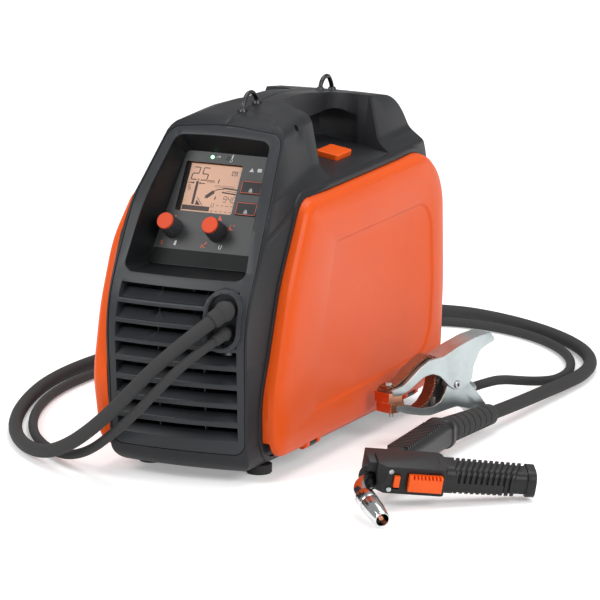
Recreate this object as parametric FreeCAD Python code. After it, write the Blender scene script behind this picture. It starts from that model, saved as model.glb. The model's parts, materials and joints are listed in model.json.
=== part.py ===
import FreeCAD, Part
import math
import os
from FreeCAD import Placement, Rotation, Vector

# Portable MIG welding machine with its torch and earth clamp lying beside it.
# Millimetres. X to the operator's right, front towards -Y, Z up, floor at Z 0.

# Driving dimensions of the housing
base_height = 9.0            # underside of the housing above the floor
wall = 3.0                   # moulded wall of the two housing shells
crest_height = 322.6         # top of the carrying handle
brow_drop = 6.3              # how far the crest's front end lies below its top
tail_drop = 21.6             # and its rear end
front_y = -205.0             # foremost point of the front face
rear_y = 205.5               # rearmost point of the rear face
flank = 78.0                 # half width of the dark housing
rear_taper = 6.0             # how much narrower each flank is at the rear
taper_start = 110.0
bow_radius = 420.0           # plan radius of the front and rear faces
rear_foot_radius = 26.0      # rounding between the rear face and the underside
shoulder_height = 255.0      # where the flank turns in to the neck
neck_foot = (63.0, 267.0)    # half width and height where the neck starts
neck_top = (53.0, crest_height - 9.6)
brow_section_y = -95.0       # the section behind the display recess
neck_section_y = -40.0       # from here back the section is even
seam_half = 0.35             # groove between the two shells
seam_depth = 0.6
seam_low = 150.0
neck_screw_y = -58.0         # screw in the neck's right slope
neck_screw_drop = 15.6       # how far it lies below the crest
neck_screw_seat = 50.0

# Handle well
grip_half = 19.0             # half width of the carrying grip
well_front_y = -17.0
well_rear_y = 107.0
well_ridge_z = 269.0         # floor of the well at the middle plane
well_floor_fall = 0.162      # fall of that floor per millimetre outwards
grip_underside = crest_height - 25.6
well_headroom = 22.4         # the well is open this far above the crest

# Front bezel and its display recess
bezel_gap = 0.5
bezel_skin = 4.0
bezel_lip = 2.2
bezel_lip_width = 3.0        # how far the ledge runs under the housing
bezel_lip_reach = 1.5        # and under the bezel
plate_lean = 32.0            # lean of the control plate, degrees from upright
plate_centre = Vector(0, -113.0, 241.0)
plate_top = 51.0             # along the plate, from its centre
plate_bottom = -62.0
plate_half_top = 43.0
plate_half_bottom = 55.0
plate_thick = 1.2
plate_clearance = 0.3
tub_wall = 2.5
tub_floor = 2.5
recess_lean = 37.2           # lean of the recess's mouth
recess_centre = Vector(0, -142.8, 247.0)
recess_half_top = 52.4
recess_half_bottom = 66.7
recess_high = 75.0           # along the mouth, from its centre
recess_low = -86.0
recess_corner = 13.0
mouth_reach = 16.0           # how far the recess's cut runs out past its mouth

# Grille and cable outlet
slot_count = 8
slot_pitch = 17.8
slot_top_z = 176.0
slot_half = 2.8
slot_half_span = 62.0
blade_fall = 8.0             # height of a blade's sloping face
blade_depth = 9.0            # how far its upper edge lies back
grille_depth = 13.0
grille_rib = 1.2
grille_rib_places = (-20.0, 26.0)
knee_reach = 32.0            # half height of the rounding at the front's knee
outlet_x = 47.5
outlet_z = 153.5
outlet_half_width = 17.5
outlet_half_height = 27.5
outlet_rim = 3.4
outlet_proud = 2.5
outlet_back_y = -189.0       # front of the wall that carries the cable glands
outlet_back = 3.0

# Display, knobs and keys on the control plate, in the plate's own frame
display_centre = (-12.0, 16.0)
display_width = 57.0
display_height = 48.0
display_sunk = 3.0           # how far the glass lies under the plate
knob_places = ((-37.5, -26.5), (8.0, -26.5))
knob_radius = 9.6
knob_tip_radius = 8.2
knob_height = 20.0
knob_flutes = 14
cap_height = 2.4
knob_shaft = 3.0
knob_bore_clearance = 0.06
knob_gap = 0.5
key_places = ((31.0, 19.5), (31.0, -1.5))
key_width = 21.0
key_height = 12.6
key_thick = 2.4
key_travel = 0.8
key_clearance = 0.3
lamp_places = ((-15.8, 46.0), (0.5, 46.0))
lamp_radius = 1.6
board_gap = 8.0              # from the tub floor to the control board
board_thick = 1.6

# Side covers
cover_seat = 0.5             # gap between the housing's flank and the covers
cover_half = 90.0            # half width over both covers
cover_wall = 3.0
cover_panel_depth = 1.8
cover_skirt = 9.5            # how far the rim reaches in over the flank
rim_gap = 0.4                # raised rim of the housing round the door
rim_width = 5.0
rim_proud = 1.7
cover_pegs = ((-60.0, 135.0), (-60.0, 225.0), (90.0, 135.0), (90.0, 225.0))
door_bar = (66.5, 216.0, 221.0)   # the door's striker: inner end, underside and top
hinge_x = 81.5
hinge_z = 21.0
hinge_places = (-88.0, 128.0)
hinge_barrel = 4.4
hinge_pin = 2.0
hinge_ear = 16.0
hinge_lug = 6.5
hinge_play = 0.4
running = 0.06               # radial clearance of a running fit

# Latch button in the floor of the handle well
latch_x = 42.0
latch_y = 49.0
latch_width = 23.0
latch_length = 33.0
latch_thick = 8.5
latch_travel = 2.5
latch_gap = 0.4
latch_boss = 9.0
latch_proud = 5.0

# Feet, straps
foot_x = 55.0
foot_front_y = -138.0
foot_rear_y = 150.0
foot_radius = 12.0
foot_peg = 4.0
strap_wire = 2.1
strap_collar = 4.6
strap_collar_height = 3.6
strap_places = ((-58.0, -28.0, 14.0), (109.0, 135.0, 13.0))

# Inside
sheet = 1.5
mid_wall_x = 8.0
mid_wall_rear = 190.0
mid_wall_top = 240.0
spool_centre = (88.0, 132.0)
spool_radius = 98.0
spool_flange = 3.0
spool_width = 48.0
spool_barrel = 50.0
spool_bore = 25.0
spool_x = 15.0
winding_radius = 86.0
motor_centre = (-75.0, 120.0)
motor_radius = 21.0
motor_length = 58.0
roll_radius = 15.0
roll_width = 10.0
roll_shaft = 4.0
wire_diameter = 1.0
arm_pivot = (-108.0, 158.0)
arm_pin = 3.0
feed_x = 27.0                # inner face of the feed rolls
knob_y = -46.0
knob_seat = 9.5              # the pressure knob's seat above the roll's axle
tension_stem = 2.5
fan_spindle = 3.0
rocker_y = 195.5
rocker_radius = 11.5
rocker_half_width = 7.5
rocker_pin = 1.6
rocker_rest = -10.0          # switched off: its upper edge stands out
mains_bore = 5.0
gas_bore = 3.0
well_screw = (30.0, 12.0)
fan_half = 34.0
fan_depth = 25.0
fan_y = -178.0
fan_z = 95.0
fan_blades = 7
rear_plate_y = 197.0
rear_plate_thick = 2.5
rear_plate_half = 56.0
rear_plate_low = 36.0
rear_plate_high = 220.0
rear_lip = 3.5
switch_place = (-30.0, 190.0)
inlet_place = (-30.0, 62.0)
gas_place = (30.0, 62.0)

# Torch, lying on the floor
torch_cable = 13.0
torch_front = Vector(199, -206, 26)
torch_rear = Vector(177, -3, 21)
sleeve_length = 105.0
sleeve_ribs = 7
neck_radius = 7.5
nozzle_length = 47.0
nozzle_mouth = 7.2
nozzle_bore = 5.9
tip_radius = 2.0
grip_root = Vector(219, -195, 31)
grip_end = Vector(322, -121, 16.8)
grip_roll = 15.0             # turn about its own length, front face downwards, degrees
grip_ribs = 13
trigger_front = 23.5         # how far the trigger's face stands from the grip's middle

# Earth clamp, standing on the floor beside the door
earth_cable = 9.0
clamp_heading = 68.0         # degrees from +X
clamp_jaw = Vector(112, 15, 20)   # between the jaws, and how high the clamp is held
clamp_pivot = (82.0, 25.0)
clamp_bolt = 3.0
arm_sheet = 2.0
upper_half = 11.0
lower_half = 8.6
jaw_length = 17.0
jaw_half = 10.0
jaw_height = 9.5
jaw_seam = 19.6              # height of the seam between the jaws
jaw_gap = 0.6
upper_jaw_start = -5.0
lower_jaw_start = -2.5
pivot_head = (3.9, 1.2)      # radius and height of the pivot's heads
braid_half = 6.2
braid_room = 0.6             # each side of the braid in its slot

sleeve_pitch = 12.5
sleeve_run = (1.3, 57.8, -2.7)   # direction of the sleeve from the torch's body
sleeve_lead = 58.0           # straight cable behind the sleeve
neck_bend = (4.7, -34.0, -2.7)   # from the collar's centre to the bend of the neck
nozzle_run = (0.69, -0.68, -0.23)
nozzle_seat = (15.0, 31.0)   # where the nozzle starts and where the neck ends, from the bend
torch_ribs = 18
torch_rib_pitch = 6.0
grip_pitch = 5.2
grip_rib_slant = 20.0
grip_smooth = 8.0            # how deep the grip's front strip without ribs is rooted
trigger_window = (8.0, 41.0, -8.2, 8.2)
trigger_pin_y = 13.6
lock_window = (-4.8, 1.2, -5.8, 8.6)
lock_travel = 2.6
torch_screw_x = -7.8
lug_start = 95.0             # clamp's cable lug: where it starts along the clamp
lug_height = 14.5
lug_length = 20.0
lug_turn = 12.0              # its heading away from the clamp's, degrees
lug_radius = 6.0
lug_lead = 32.0
spring_wire = 1.0
spring_radius = 4.3
spring_turns = 4
spring_pitch = 2.6
braid_thick = 2.6
braid_path = [
    (-3, 33.5), (8, 35.5), (17, 39.2), (29, 47.2), (36, 51.3), (44, 55.2),
    (51, 56.6), (55.4, 53), (57, 46), (58.5, 37), (57, 28), (53, 19), (46, 11.5),
    (38, 7.6), (28, 8.8), (20, 10.7), (13.5, 12.3),
]
upper_outline = [
    (124.9, 68.9, 3), (131.8, 60.6, 2), (112, 54.7, 14), (103, 40, 14), (101, 26, 12),
    (92, 20.5, 10), (81.5, 19.5, 10), (72, 25, 9), (60, 36.5, 14), (49.8, 40.2, 10),
    (39, 38.9, 14), (20, 29, 12), (9, 25.6, 3), (0.5, 26.5, 1), (-1.6, 31.5, 1),
    (13.3, 34.5, 10), (34.7, 48.4, 14), (47.7, 53.8, 12), (64.8, 54.5, 14), (84, 61.3, 30),
    (105.6, 66.9, 30),
]
lower_outline = [
    (4.7, 15.7, 1), (15.4, 15.2, 6), (27, 11.9, 14), (41.2, 8.2, 16), (54, 7.9, 14),
    (62.6, 11, 9), (68, 18.4, 10), (71, 25.5, 3), (97, 27, 6), (114, 9, 12),
    (133, -15, 2), (128, -20, 1.5), (121, -20, 1), (104, -3, 20), (84.1, 3.5, 20),
    (62.6, 1.4, 30), (49.8, 0, 20), (37, 2, 20), (19.8, 6.2, 20),
    (4.7, 11.2, 1),
]

# Free cables: the points of each route, from the machine to the tool
torch_route = [
    (22, -227, 137), (-6, -242, 109), (-34, -243, 79), (-64, -237, 52),
    (-97, -222, 29), (-134, -198, 12), (-172, -166, 7), (-206, -122, 7),
    (-236, -62, 7), (-259, 6, 7), (-275, 80, 7), (-276, 155, 7),
    (-264, 232, 7), (-242, 308, 7), (-209, 382, 7), (-166, 450, 7),
    (-114, 504, 7), (-50, 530, 7), (16, 512, 7), (78, 478, 7),
    (131, 432, 7), (165, 380, 7), (180, 324, 8), (181, 268, 9.5),
    (180.5, 226, 11),
]
earth_route = [
    (27, -231.2, 121.3), (4, -241, 95), (-20, -240, 70), (-49, -232, 45),
    (-82, -212, 22), (-118, -186, 8), (-154, -156, 5), (-187, -118, 5),
    (-216, -68, 5), (-240, -8, 5), (-255, 60, 5), (-255, 132, 5),
    (-243, 205, 5), (-221, 275, 5), (-190, 342, 5), (-151, 404, 5),
    (-102, 458, 5), (-44, 492, 5), (14, 488, 5), (66, 465, 5),
    (108, 430, 5), (139, 388, 5), (158, 341, 5), (163, 297, 6.5),
    (160, 259, 12.5), (157, 221, 21), (156.8, 186, 29.5),
]
torch_gland_centre = Vector(50, -199, 163)
earth_gland_centre = Vector(50, -199, 142)
torch_collar_reach = 14.0    # from a gland's centre to the end of its collar
earth_collar_reach = 12.0


def corner_wire(corners, plane="YZ", at=0.0):
    """A closed outline through (a, b, radius) corners, rounded by tangent arcs."""
    def place(p):
        if plane == "YZ":
            return Vector(at, p.x, p.y)
        if plane == "XZ":
            return Vector(p.x, at, p.y)
        return Vector(p.x, p.y, at)

    arcs = []
    for i, (a, b, radius) in enumerate(corners):
        here = Vector(a, b, 0)
        back = Vector(corners[i - 1][0], corners[i - 1][1], 0) - here
        ahead = Vector(*corners[(i + 1) % len(corners)][:2], 0) - here
        back.normalize()
        ahead.normalize()
        half = back.getAngle(ahead) / 2
        if radius <= 0 or half > math.pi / 2 - 1e-4:
            arcs.append((here, None, here))
            continue
        middle = back + ahead
        middle.normalize()
        cut = radius / math.tan(half)
        dip = radius / math.sin(half) - radius
        arcs.append((here + back * cut, here + middle * dip, here + ahead * cut))
    edges = []
    for i, (start, middle, end) in enumerate(arcs):
        if middle is not None:
            edges.append(Part.Arc(place(start), place(middle), place(end)).toShape())
        following = arcs[(i + 1) % len(arcs)][0]
        if (following - end).Length > 1e-6:
            edges.append(Part.LineSegment(place(end), place(following)).toShape())
    return Part.Wire(edges)


def inset(corners, distance):
    """The same outline moved in by a distance, with its radii to match."""
    turn = 0.0
    count = len(corners)
    for i in range(count):
        a, b = corners[i], corners[(i + 1) % count]
        turn += a[0] * b[1] - b[0] * a[1]
    sign = 1.0 if turn > 0 else -1.0
    sides = []
    for i in range(count):
        a, b = corners[i], corners[(i + 1) % count]
        along = Vector(b[0] - a[0], b[1] - a[1], 0)
        along.normalize()
        normal = Vector(-along.y * sign, along.x * sign, 0)
        sides.append((Vector(a[0], a[1], 0) + normal * distance, along))
    moved = []
    for i in range(count):
        p, d = sides[i - 1]
        q, e = sides[i]
        cross = d.x * e.y - d.y * e.x
        radius = corners[i][2]
        if abs(cross) < 1e-6:
            moved.append((q.x, q.y, radius))
            continue
        step = ((q.x - p.x) * e.y - (q.y - p.y) * e.x) / cross
        convex = cross * sign > 0
        if radius > 0:
            radius = max(radius - distance, 0.4) if convex else max(radius + distance, 0.4)
        moved.append((p.x + d.x * step, p.y + d.y * step, radius))
    return moved


def slab(corners, plane, start, end):
    """An outline extruded along the normal of its plane, from start to end."""
    normals = {"YZ": Vector(1, 0, 0), "XZ": Vector(0, 1, 0), "XY": Vector(0, 0, 1)}
    face = Part.Face(corner_wire(corners, plane, start))
    return face.extrude(normals[plane] * (end - start))


def mirrored_section(half):
    """A closed outline from the corners of its right half, given from low to high."""
    return half + [(-a, b, r) for a, b, r in reversed(half) if a > 0]


def box(x0, x1, y0, y1, z0, z1):
    return Part.makeBox(x1 - x0, y1 - y0, z1 - z0, Vector(x0, y0, z0))


def rod(radius, start, end):
    """A round bar between two points."""
    along = end - start
    return Part.makeCylinder(radius, along.Length, start, along)


def pipe(outer, inner, start, end):
    return rod(outer, start, end).cut(rod(inner, start, end))


def fuse(shapes):
    first = shapes[0]
    return first.fuse(shapes[1:]).removeSplitter() if len(shapes) > 1 else first


def stadium(x, z, half_width, half_height):
    """An upright round-ended outline in the XZ plane."""
    radius = half_width - 0.01
    return [
        (x - half_width, z - half_height, radius), (x + half_width, z - half_height, radius),
        (x + half_width, z + half_height, radius), (x - half_width, z + half_height, radius),
    ]


def rectangle(a0, a1, b0, b1, radius=0.0):
    return [(a0, b0, radius), (a1, b0, radius), (a1, b1, radius), (a0, b1, radius)]


def turned(profile, base, axis):
    """A solid of revolution: profile is (distance along the axis, radius) pairs."""
    points = [Vector(r, 0, h) for h, r in profile]
    points = [Vector(0, 0, profile[0][0])] + points + [Vector(0, 0, profile[-1][0])]
    face = Part.Face(Part.makePolygon(points + [points[0]]))
    solid = face.revolve(Vector(0, 0, 0), Vector(0, 0, 1), 360)
    solid.Placement = Placement(base, Rotation(Vector(0, 0, 1), axis))
    return solid


def plate_frame(lift=0.0):
    """The frame of the control plate: X across, Y up the plate, Z out of it."""
    turn = Rotation(Vector(1, 0, 0), 90 - plate_lean)
    return Placement(plate_centre + turn.multVec(Vector(0, 0, lift)), turn)


def on_plate(shape, lift=0.0):
    placed = shape.copy()
    placed.Placement = plate_frame(lift).multiply(placed.Placement)
    return placed


# Housing outlines; each profile's first and last corner lie on the axis of its bow
front_profile = [
    (215.0, base_height, 0),
    (-197.5, base_height, 24),
    (front_y, 156.0, 110),
    (-153.7, 246.2, 150),
    (-87.4, crest_height - brow_drop, 35),
    (-18.0, crest_height, 400),
    (215.0, crest_height, 0),
]
rear_profile = [
    (-214.5, base_height, 0),
    (201.0, base_height, rear_foot_radius),
    (rear_y, 110.0, 200),
    (199.0, 236.0, 90),
    (165.0, crest_height - tail_drop, 50),
    (26.0, crest_height, 300),
    (-214.5, crest_height, 0),
]


# Right half of the housing's sections, from low to high: half width, height, radius
crown = (20.0, crest_height + 0.9, 60)
front_half = [
    (69.0, base_height, 16), (70.4, 110.0, 250), (71.2, 200.0, 150),
    (70.5, 250.0, 60), (59.5, crest_height - 16.1, 13), crown,
]
brow_half = [
    (72.0, base_height, 16), (flank - 0.5, 110.0, 250), (flank - 1.0, shoulder_height - 10, 20),
    (67.5, neck_foot[1] - 5, 25), (58.5, crest_height - 13.6, 13), crown,
]


def housing_section(narrower=0.0):
    """The section of the housing behind its brow."""
    return [
        (72.0 - narrower, base_height, 16),
        (flank - narrower, 110.0, 250),
        (flank - narrower, shoulder_height, 7),
        (neck_foot[0] - narrower * 0.6, neck_foot[1], 14),
        (neck_top[0] - narrower * 0.3, neck_top[1], 13),
        crown,
    ]


def bowed(profile, axis_y, distance):
    """The side profile swept round a far upright axis, so that the face is bowed."""
    moved = inset(profile, distance)
    ends = (0, len(profile) - 1)
    moved = [(axis_y, b, 0) if i in ends else (a, b, r) for i, (a, b, r) in enumerate(moved)]
    face = Part.Face(corner_wire(moved, "YZ", 0))
    return face.revolve(Vector(0, axis_y, 0), Vector(0, 0, 1), 360)


def front_body(distance):
    return bowed(front_profile, front_y + bow_radius, distance)


def rear_body(distance):
    return bowed(rear_profile, rear_y - bow_radius, distance)


def housing_body(distance):
    """The outside of the housing, moved in by a distance."""
    stations = [
        (front_y - 6, front_half), (brow_section_y, brow_half),
        (neck_section_y, housing_section()), (taper_start, housing_section()),
        (rear_y + 6, housing_section(rear_taper)),
    ]
    parts = []
    for (y0, half0), (y1, half1) in zip(stations, stations[1:]):
        wires = [corner_wire(inset(mirrored_section(half), distance), "XZ", y)
                 for y, half in ((y0, half0), (y1, half1))]
        parts.append(Part.makeLoft(wires, True, True))
    flanks = fuse(parts)
    return flanks.common(front_body(distance)).common(rear_body(distance))


def handle_well(distance):
    """The hand space under and beside the grip, grown by a distance."""
    reach = 110.0
    above_crest = crest_height + well_headroom
    pocket = [
        (grip_half, well_front_y, 12), (reach, well_front_y - 16, 0),
        (reach, well_rear_y - 10, 0), (grip_half, well_rear_y, 24),
    ]
    pocket = inset(pocket, -distance)
    right = slab(pocket, "XY", 230, above_crest)
    left = right.mirror(Vector(0, 0, 0), Vector(1, 0, 0))
    passage = [
        (well_front_y, 230, 0), (well_rear_y, 230, 0),
        (well_rear_y, grip_underside, 16), (well_front_y, grip_underside, 12),
    ]
    under = slab(inset(passage, -distance), "YZ", -40, 40)
    ridge = well_ridge_z - distance
    edge = ridge - reach * well_floor_fall
    above = slab([(-reach, edge, 0), (0, ridge, 60), (reach, edge, 0),
                  (reach, above_crest, 0), (-reach, above_crest, 0)], "XZ", -80, 180)
    return fuse([right, left, under]).common(above)


# Front bezel outline, upright projection
bezel_outline = mirrored_section([
    (67.0, 29.0, 11),
    (68.3, 100.0, 150),
    (70.0, 195.0, 150),
    (68.0, 250.0, 100),
    (56.8, crest_height - 16.1, 14),
    (0.0, crest_height - 10.6, 200),
])


def front_band(outline, outer, inner):
    """What lies inside an outline, between two depths under the front face."""
    prism = slab(outline, "XZ", front_y - 12, -60)
    return prism.common(front_body(outer)).cut(front_body(inner))


def trapezoid(half_bottom, half_top, low, high, radius):
    return [(half_bottom, low, radius), (half_top, high, radius),
            (-half_top, high, radius), (-half_bottom, low, radius)]


def recess_tub(distance, floor):
    """The display recess: a tapering cut from its mouth to the control plate's seat."""
    mouth = corner_wire(inset(trapezoid(
        recess_half_bottom, recess_half_top, recess_low, recess_high, recess_corner),
        -distance), "XY", 0)
    turn = Rotation(Vector(1, 0, 0), 90 - recess_lean)
    out = recess_centre + turn.multVec(Vector(0, 0, mouth_reach))
    mouth.Placement = Placement(out, turn)
    seat = corner_wire(inset(trapezoid(
        plate_half_bottom, plate_half_top, plate_bottom, plate_top, 5), -distance), "XY", 0)
    seat.Placement = plate_frame(-plate_thick - floor)
    return Part.makeLoft([mouth, seat], True, True)


def face_y(z):
    """Where the front face lies at a height, in the middle plane."""
    (y0, z0, _), (y1, z1, knee), (y2, z2, _) = front_profile[1:4]
    near = max(knee_reach - abs(z - z1), 0) ** 2 / (2 * knee)
    if z < z1:
        return y1 + (y0 - y1) * (z1 - z) / (z1 - z0) + near
    return y1 + (y2 - y1) * (z - z1) / (z2 - z1) + near


def grille_slot(z):
    """The cut for one slot, swept along the bowed front: gap above, sloping face below."""
    y = face_y(z)
    section = [
        (y - 8, z + slot_half, 0), (y + grille_depth + 3, z + slot_half, 0),
        (y + grille_depth + 3, z - slot_half, 0), (y + blade_depth, z - slot_half, 0),
        (y - 0.2, z - slot_half - blade_fall, 0), (y - 8, z - slot_half - blade_fall, 0),
    ]
    face = Part.Face(corner_wire(section, "YZ", 0))
    axis_y = front_y + bow_radius
    half = math.degrees(slot_half_span / bow_radius)
    face.rotate(Vector(0, axis_y, 0), Vector(0, 0, 1), -half)
    return face.revolve(Vector(0, axis_y, 0), Vector(0, 0, 1), 2 * half)


def slot_heights():
    return [slot_top_z - i * slot_pitch for i in range(slot_count)]


def front_bezel():
    low = slot_heights()[-1] - slot_half - blade_fall - 3
    high = slot_top_z + slot_half + 4
    skin = front_band(bezel_outline, 0.0, bezel_skin)
    thick = front_band(rectangle(-64, 64, low, high, 4), bezel_skin - 0.5, grille_depth)
    cuts = [grille_slot(z) for z in slot_heights()]
    plate = fuse([skin, thick]).cut(cuts)
    ribs = [front_band(rectangle(x - grille_rib / 2, x + grille_rib / 2, low, high),
                       blade_depth, grille_depth) for x in grille_rib_places]
    outer = stadium(outlet_x, outlet_z, outlet_half_width, outlet_half_height)
    block = slab(inset(outer, -1.0), "XZ", front_y - outlet_proud, outlet_back_y + outlet_back)
    block = block.common(front_body(-outlet_proud))
    hollow = slab(inset(outer, outlet_rim), "XZ", front_y - 20, outlet_back_y)
    plug = stadium_boss()
    plate = fuse([plate, block, plug] + ribs).cut(hollow)
    tub = recess_tub(tub_wall, tub_floor).common(front_body(1.0))
    plate = fuse([plate, tub]).cut(recess_tub(0.0, 0.0))
    for shape in panel_holes():
        plate = plate.cut(shape)
    for hole in gland_bores():
        plate = plate.cut(hole)
    return plate


def stadium_boss():
    """The small round plug over the upper grille."""
    boss = Part.makeCylinder(3.6, 14, Vector(0, front_y - 6, slot_top_z + 7), Vector(0, 1, 0))
    return boss.common(front_body(-0.8)).cut(front_body(bezel_skin))


def panel_holes():
    """Openings through the tub floor behind the control plate."""
    deep = -plate_thick - tub_floor - 1
    holes = []
    dx, dy = display_centre
    half_w = display_width / 2 + plate_clearance
    half_h = display_height / 2 + plate_clearance
    holes.append(slab(rectangle(dx - half_w, dx + half_w, dy - half_h, dy + half_h, 1.5), "XY", deep, 4))
    for x, y in knob_places:
        holes.append(Part.makeCylinder(knob_shaft + 1.0, 8, Vector(x, y, deep)))
    for x, y in key_places:
        holes.append(slab(rectangle(x - 4, x + 4, y - 3, y + 3, 1), "XY", deep, 0))
    for x, y in lamp_places:
        holes.append(Part.makeCylinder(lamp_radius + plate_clearance, 8, Vector(x, y, deep)))
    return [on_plate(hole) for hole in holes]


def toward(centre, route):
    """Unit vector from a gland's centre to the first point of its cable."""
    way = Vector(*route[0]) - centre
    way.normalize()
    return way


def gland(centre, ball, neck, collar, reach, route):
    """A swivel gland: neck through the outlet's back wall, ball and tilted collar."""
    seat = outlet_back_y + outlet_back
    way = toward(centre, route)
    return fuse([
        rod(neck, centre, Vector(centre.x, seat + 5, centre.z)),
        rod(neck + 2.0, Vector(centre.x, seat, centre.z), Vector(centre.x, seat + 5, centre.z)),
        Part.makeSphere(ball, centre),
        rod(collar, centre, centre + way * reach),
    ])


def gland_bores():
    """Holes for the two necks, with room behind the wall for their nuts."""
    seat = outlet_back_y + outlet_back
    bores = []
    for centre, neck in ((torch_gland_centre, 8.0), (earth_gland_centre, 5.4)):
        bores.append(rod(neck + 0.2, Vector(centre.x, -175, centre.z), Vector(centre.x, -195, centre.z)))
        bores.append(rod(neck + 2.5, Vector(centre.x, seat, centre.z), Vector(centre.x, seat + 8, centre.z)))
    return bores


def cable_glands():
    return [
        gland(torch_gland_centre, 9.6, 8.0, 8.2, torch_collar_reach, torch_route),
        gland(earth_gland_centre, 6.6, 5.4, 5.4, earth_collar_reach, earth_route),
    ]


def cord(name, points, diameter):
    """A round cable: straight runs joined by tangent arcs."""
    points = [Vector(*p) for p in points]
    edges = []
    at = points[0]
    radii = []
    for before, here, after in zip(points, points[1:], points[2:]):
        back = before - here
        ahead = after - here
        cut = 0.45 * min(back.Length, ahead.Length)
        back.normalize()
        ahead.normalize()
        half = back.getAngle(ahead) / 2
        middle = back + ahead
        middle.normalize()
        radius = cut * math.tan(half)
        dip = radius / math.sin(half) - radius
        start = here + back * cut
        end = here + ahead * cut
        edges.append(Part.LineSegment(at, start).toShape())
        edges.append(Part.Arc(start, here + middle * dip, end).toShape())
        radii.append(round(radius))
        at = end
    edges.append(Part.LineSegment(at, points[-1]).toShape())
    path = Part.Wire(edges)
    ring = Part.Wire([Part.makeCircle(diameter / 2, points[0], points[1] - points[0])])
    tube = path.makePipeShell([ring], True, False)
    ideal = math.pi * diameter ** 2 / 4 * path.Length
    print(f"{name}: length {path.Length:.0f}, volume ratio {tube.Volume / ideal:.4f}, radii {radii}")
    return tube


def control_plate():
    outline = inset(trapezoid(plate_half_bottom, plate_half_top, plate_bottom, plate_top, 5),
                    plate_clearance)
    plate = on_plate(slab(outline, "XY", -plate_thick, 0))
    for hole in panel_holes():
        plate = plate.cut(hole)
    for x, y in key_places:
        half_w = key_width / 2 + key_clearance
        half_h = key_height / 2 + key_clearance
        well = slab(rectangle(x - half_w, x + half_w, y - half_h, y + half_h, 1.6), "XY", -2, 1)
        plate = plate.cut(on_plate(well))
    return plate


def display_glass():
    dx, dy = display_centre
    outline = rectangle(dx - display_width / 2, dx + display_width / 2,
                        dy - display_height / 2, dy + display_height / 2, 1.2)
    depth = plate_thick + tub_floor + board_gap
    return on_plate(slab(outline, "XY", -depth, -display_sunk))


def control_board():
    """Printed board with the knobs' encoders and shafts and the keys' contacts."""
    level = -plate_thick - tub_floor - board_gap
    half = plate_half_top - 1
    pieces = [slab(rectangle(-half, half, plate_bottom + 10, plate_top - 1, 2), "XY",
                   level - board_thick, level)]
    for x, y in knob_places:
        pieces.append(slab(rectangle(x - 6, x + 6, y - 6, y + 6, 1), "XY", level, level + 6))
        pieces.append(Part.makeCylinder(knob_shaft, 20.5, Vector(x, y, level + 5)))
    for x, y in key_places:
        pieces.append(slab(rectangle(x - 3, x + 3, y - 2.5, y + 2.5, 0.5), "XY",
                           level, -plate_thick - key_travel - 1.3))
    for x, y in lamp_places:
        pieces.append(Part.makeCylinder(lamp_radius, board_gap, Vector(x, y, level)))
    for x in (-half + 4, half - 4):
        for y in (plate_bottom + 14, plate_top - 5):
            pieces.append(Part.makeCylinder(2.5, board_gap, Vector(x, y, level)))
    return on_plate(fuse(pieces))


def status_lamps():
    lamps = []
    for x, y in lamp_places:
        low = -plate_thick - tub_floor
        lens = Part.makeCylinder(lamp_radius, -low + 0.2, Vector(x, y, low))
        dome = Part.makeSphere(lamp_radius * 1.3, Vector(x, y, -0.85))
        above = Part.makeCylinder(lamp_radius, 3, Vector(x, y, 0.1))
        lamps.append(on_plate(fuse([lens, dome.common(above)])))
    return lamps


def knob_body(place):
    """A fluted knob with a bore for its encoder's shaft."""
    x, y = place
    cone = Part.makeCone(knob_radius, knob_tip_radius, knob_height - cap_height, Vector(x, y, knob_gap))
    flutes = []
    for i in range(knob_flutes):
        angle = 2 * math.pi * i / knob_flutes
        out = knob_radius + 0.2
        at = Vector(x + out * math.cos(angle), y + out * math.sin(angle), knob_gap + 3)
        lean = (knob_radius - knob_tip_radius) / (knob_height - cap_height)
        way = Vector(-lean * math.cos(angle), -lean * math.sin(angle), 1)
        flutes.append(Part.makeCylinder(0.9, knob_height, at, way))
    bore = Part.makeCylinder(knob_shaft + knob_bore_clearance, 15, Vector(x, y, knob_gap - 1))
    return on_plate(cone.cut(flutes).cut(bore))


def knob_cap(place):
    x, y = place
    base = knob_gap + knob_height - cap_height
    disc = Part.makeCylinder(knob_tip_radius - 0.3, cap_height, Vector(x, y, base))
    disc = disc.makeFillet(0.8, [e for e in disc.Edges if e.BoundBox.ZMin > base + cap_height - 0.1])
    return on_plate(disc)


def panel_key(place):
    x, y = place
    outline = rectangle(x - key_width / 2, x + key_width / 2, y - key_height / 2, y + key_height / 2, 1.4)
    cap = slab(outline, "XY", key_travel - plate_thick + 0.35, key_travel + 0.5)
    stem = slab(rectangle(x - 3, x + 3, y - 2.4, y + 2.4, 0.8), "XY",
                -plate_thick - 0.8, key_travel - plate_thick + 0.5)
    return on_plate(fuse([cap, stem]))


# Side covers, seen from the side: along Y, height, corner radius
cover_rear = [(196.0, 19.0, 46), (204.0, 120.0, 260), (201.0, 249.0, 60)]
door_outline = [
    (-97.0, 249.0, 26), (-137.0, 176.0, 160), (-169.0, 75.0, 90), (-165.0, 19.0, 24),
] + cover_rear
left_outline = [
    (-113.0, 249.0, 26), (-156.0, 212.0, 90), (-182.0, 156.0, 160), (-198.0, 90.0, 80),
    (-182.0, 19.0, 24),
] + cover_rear
panel_outline = [
    (-49.0, 203.0, 12), (-73.0, 140.0, 120), (-94.0, 51.0, 5), (163.0, 56.0, 35),
    (171.0, 125.0, 200), (166.0, 203.0, 30),
]
cover_steps = ((0.0, 0.0), (5.0, 1.2), (8.5, 4.5), (10.4, 10.0), (11.5, 20.0))


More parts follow.
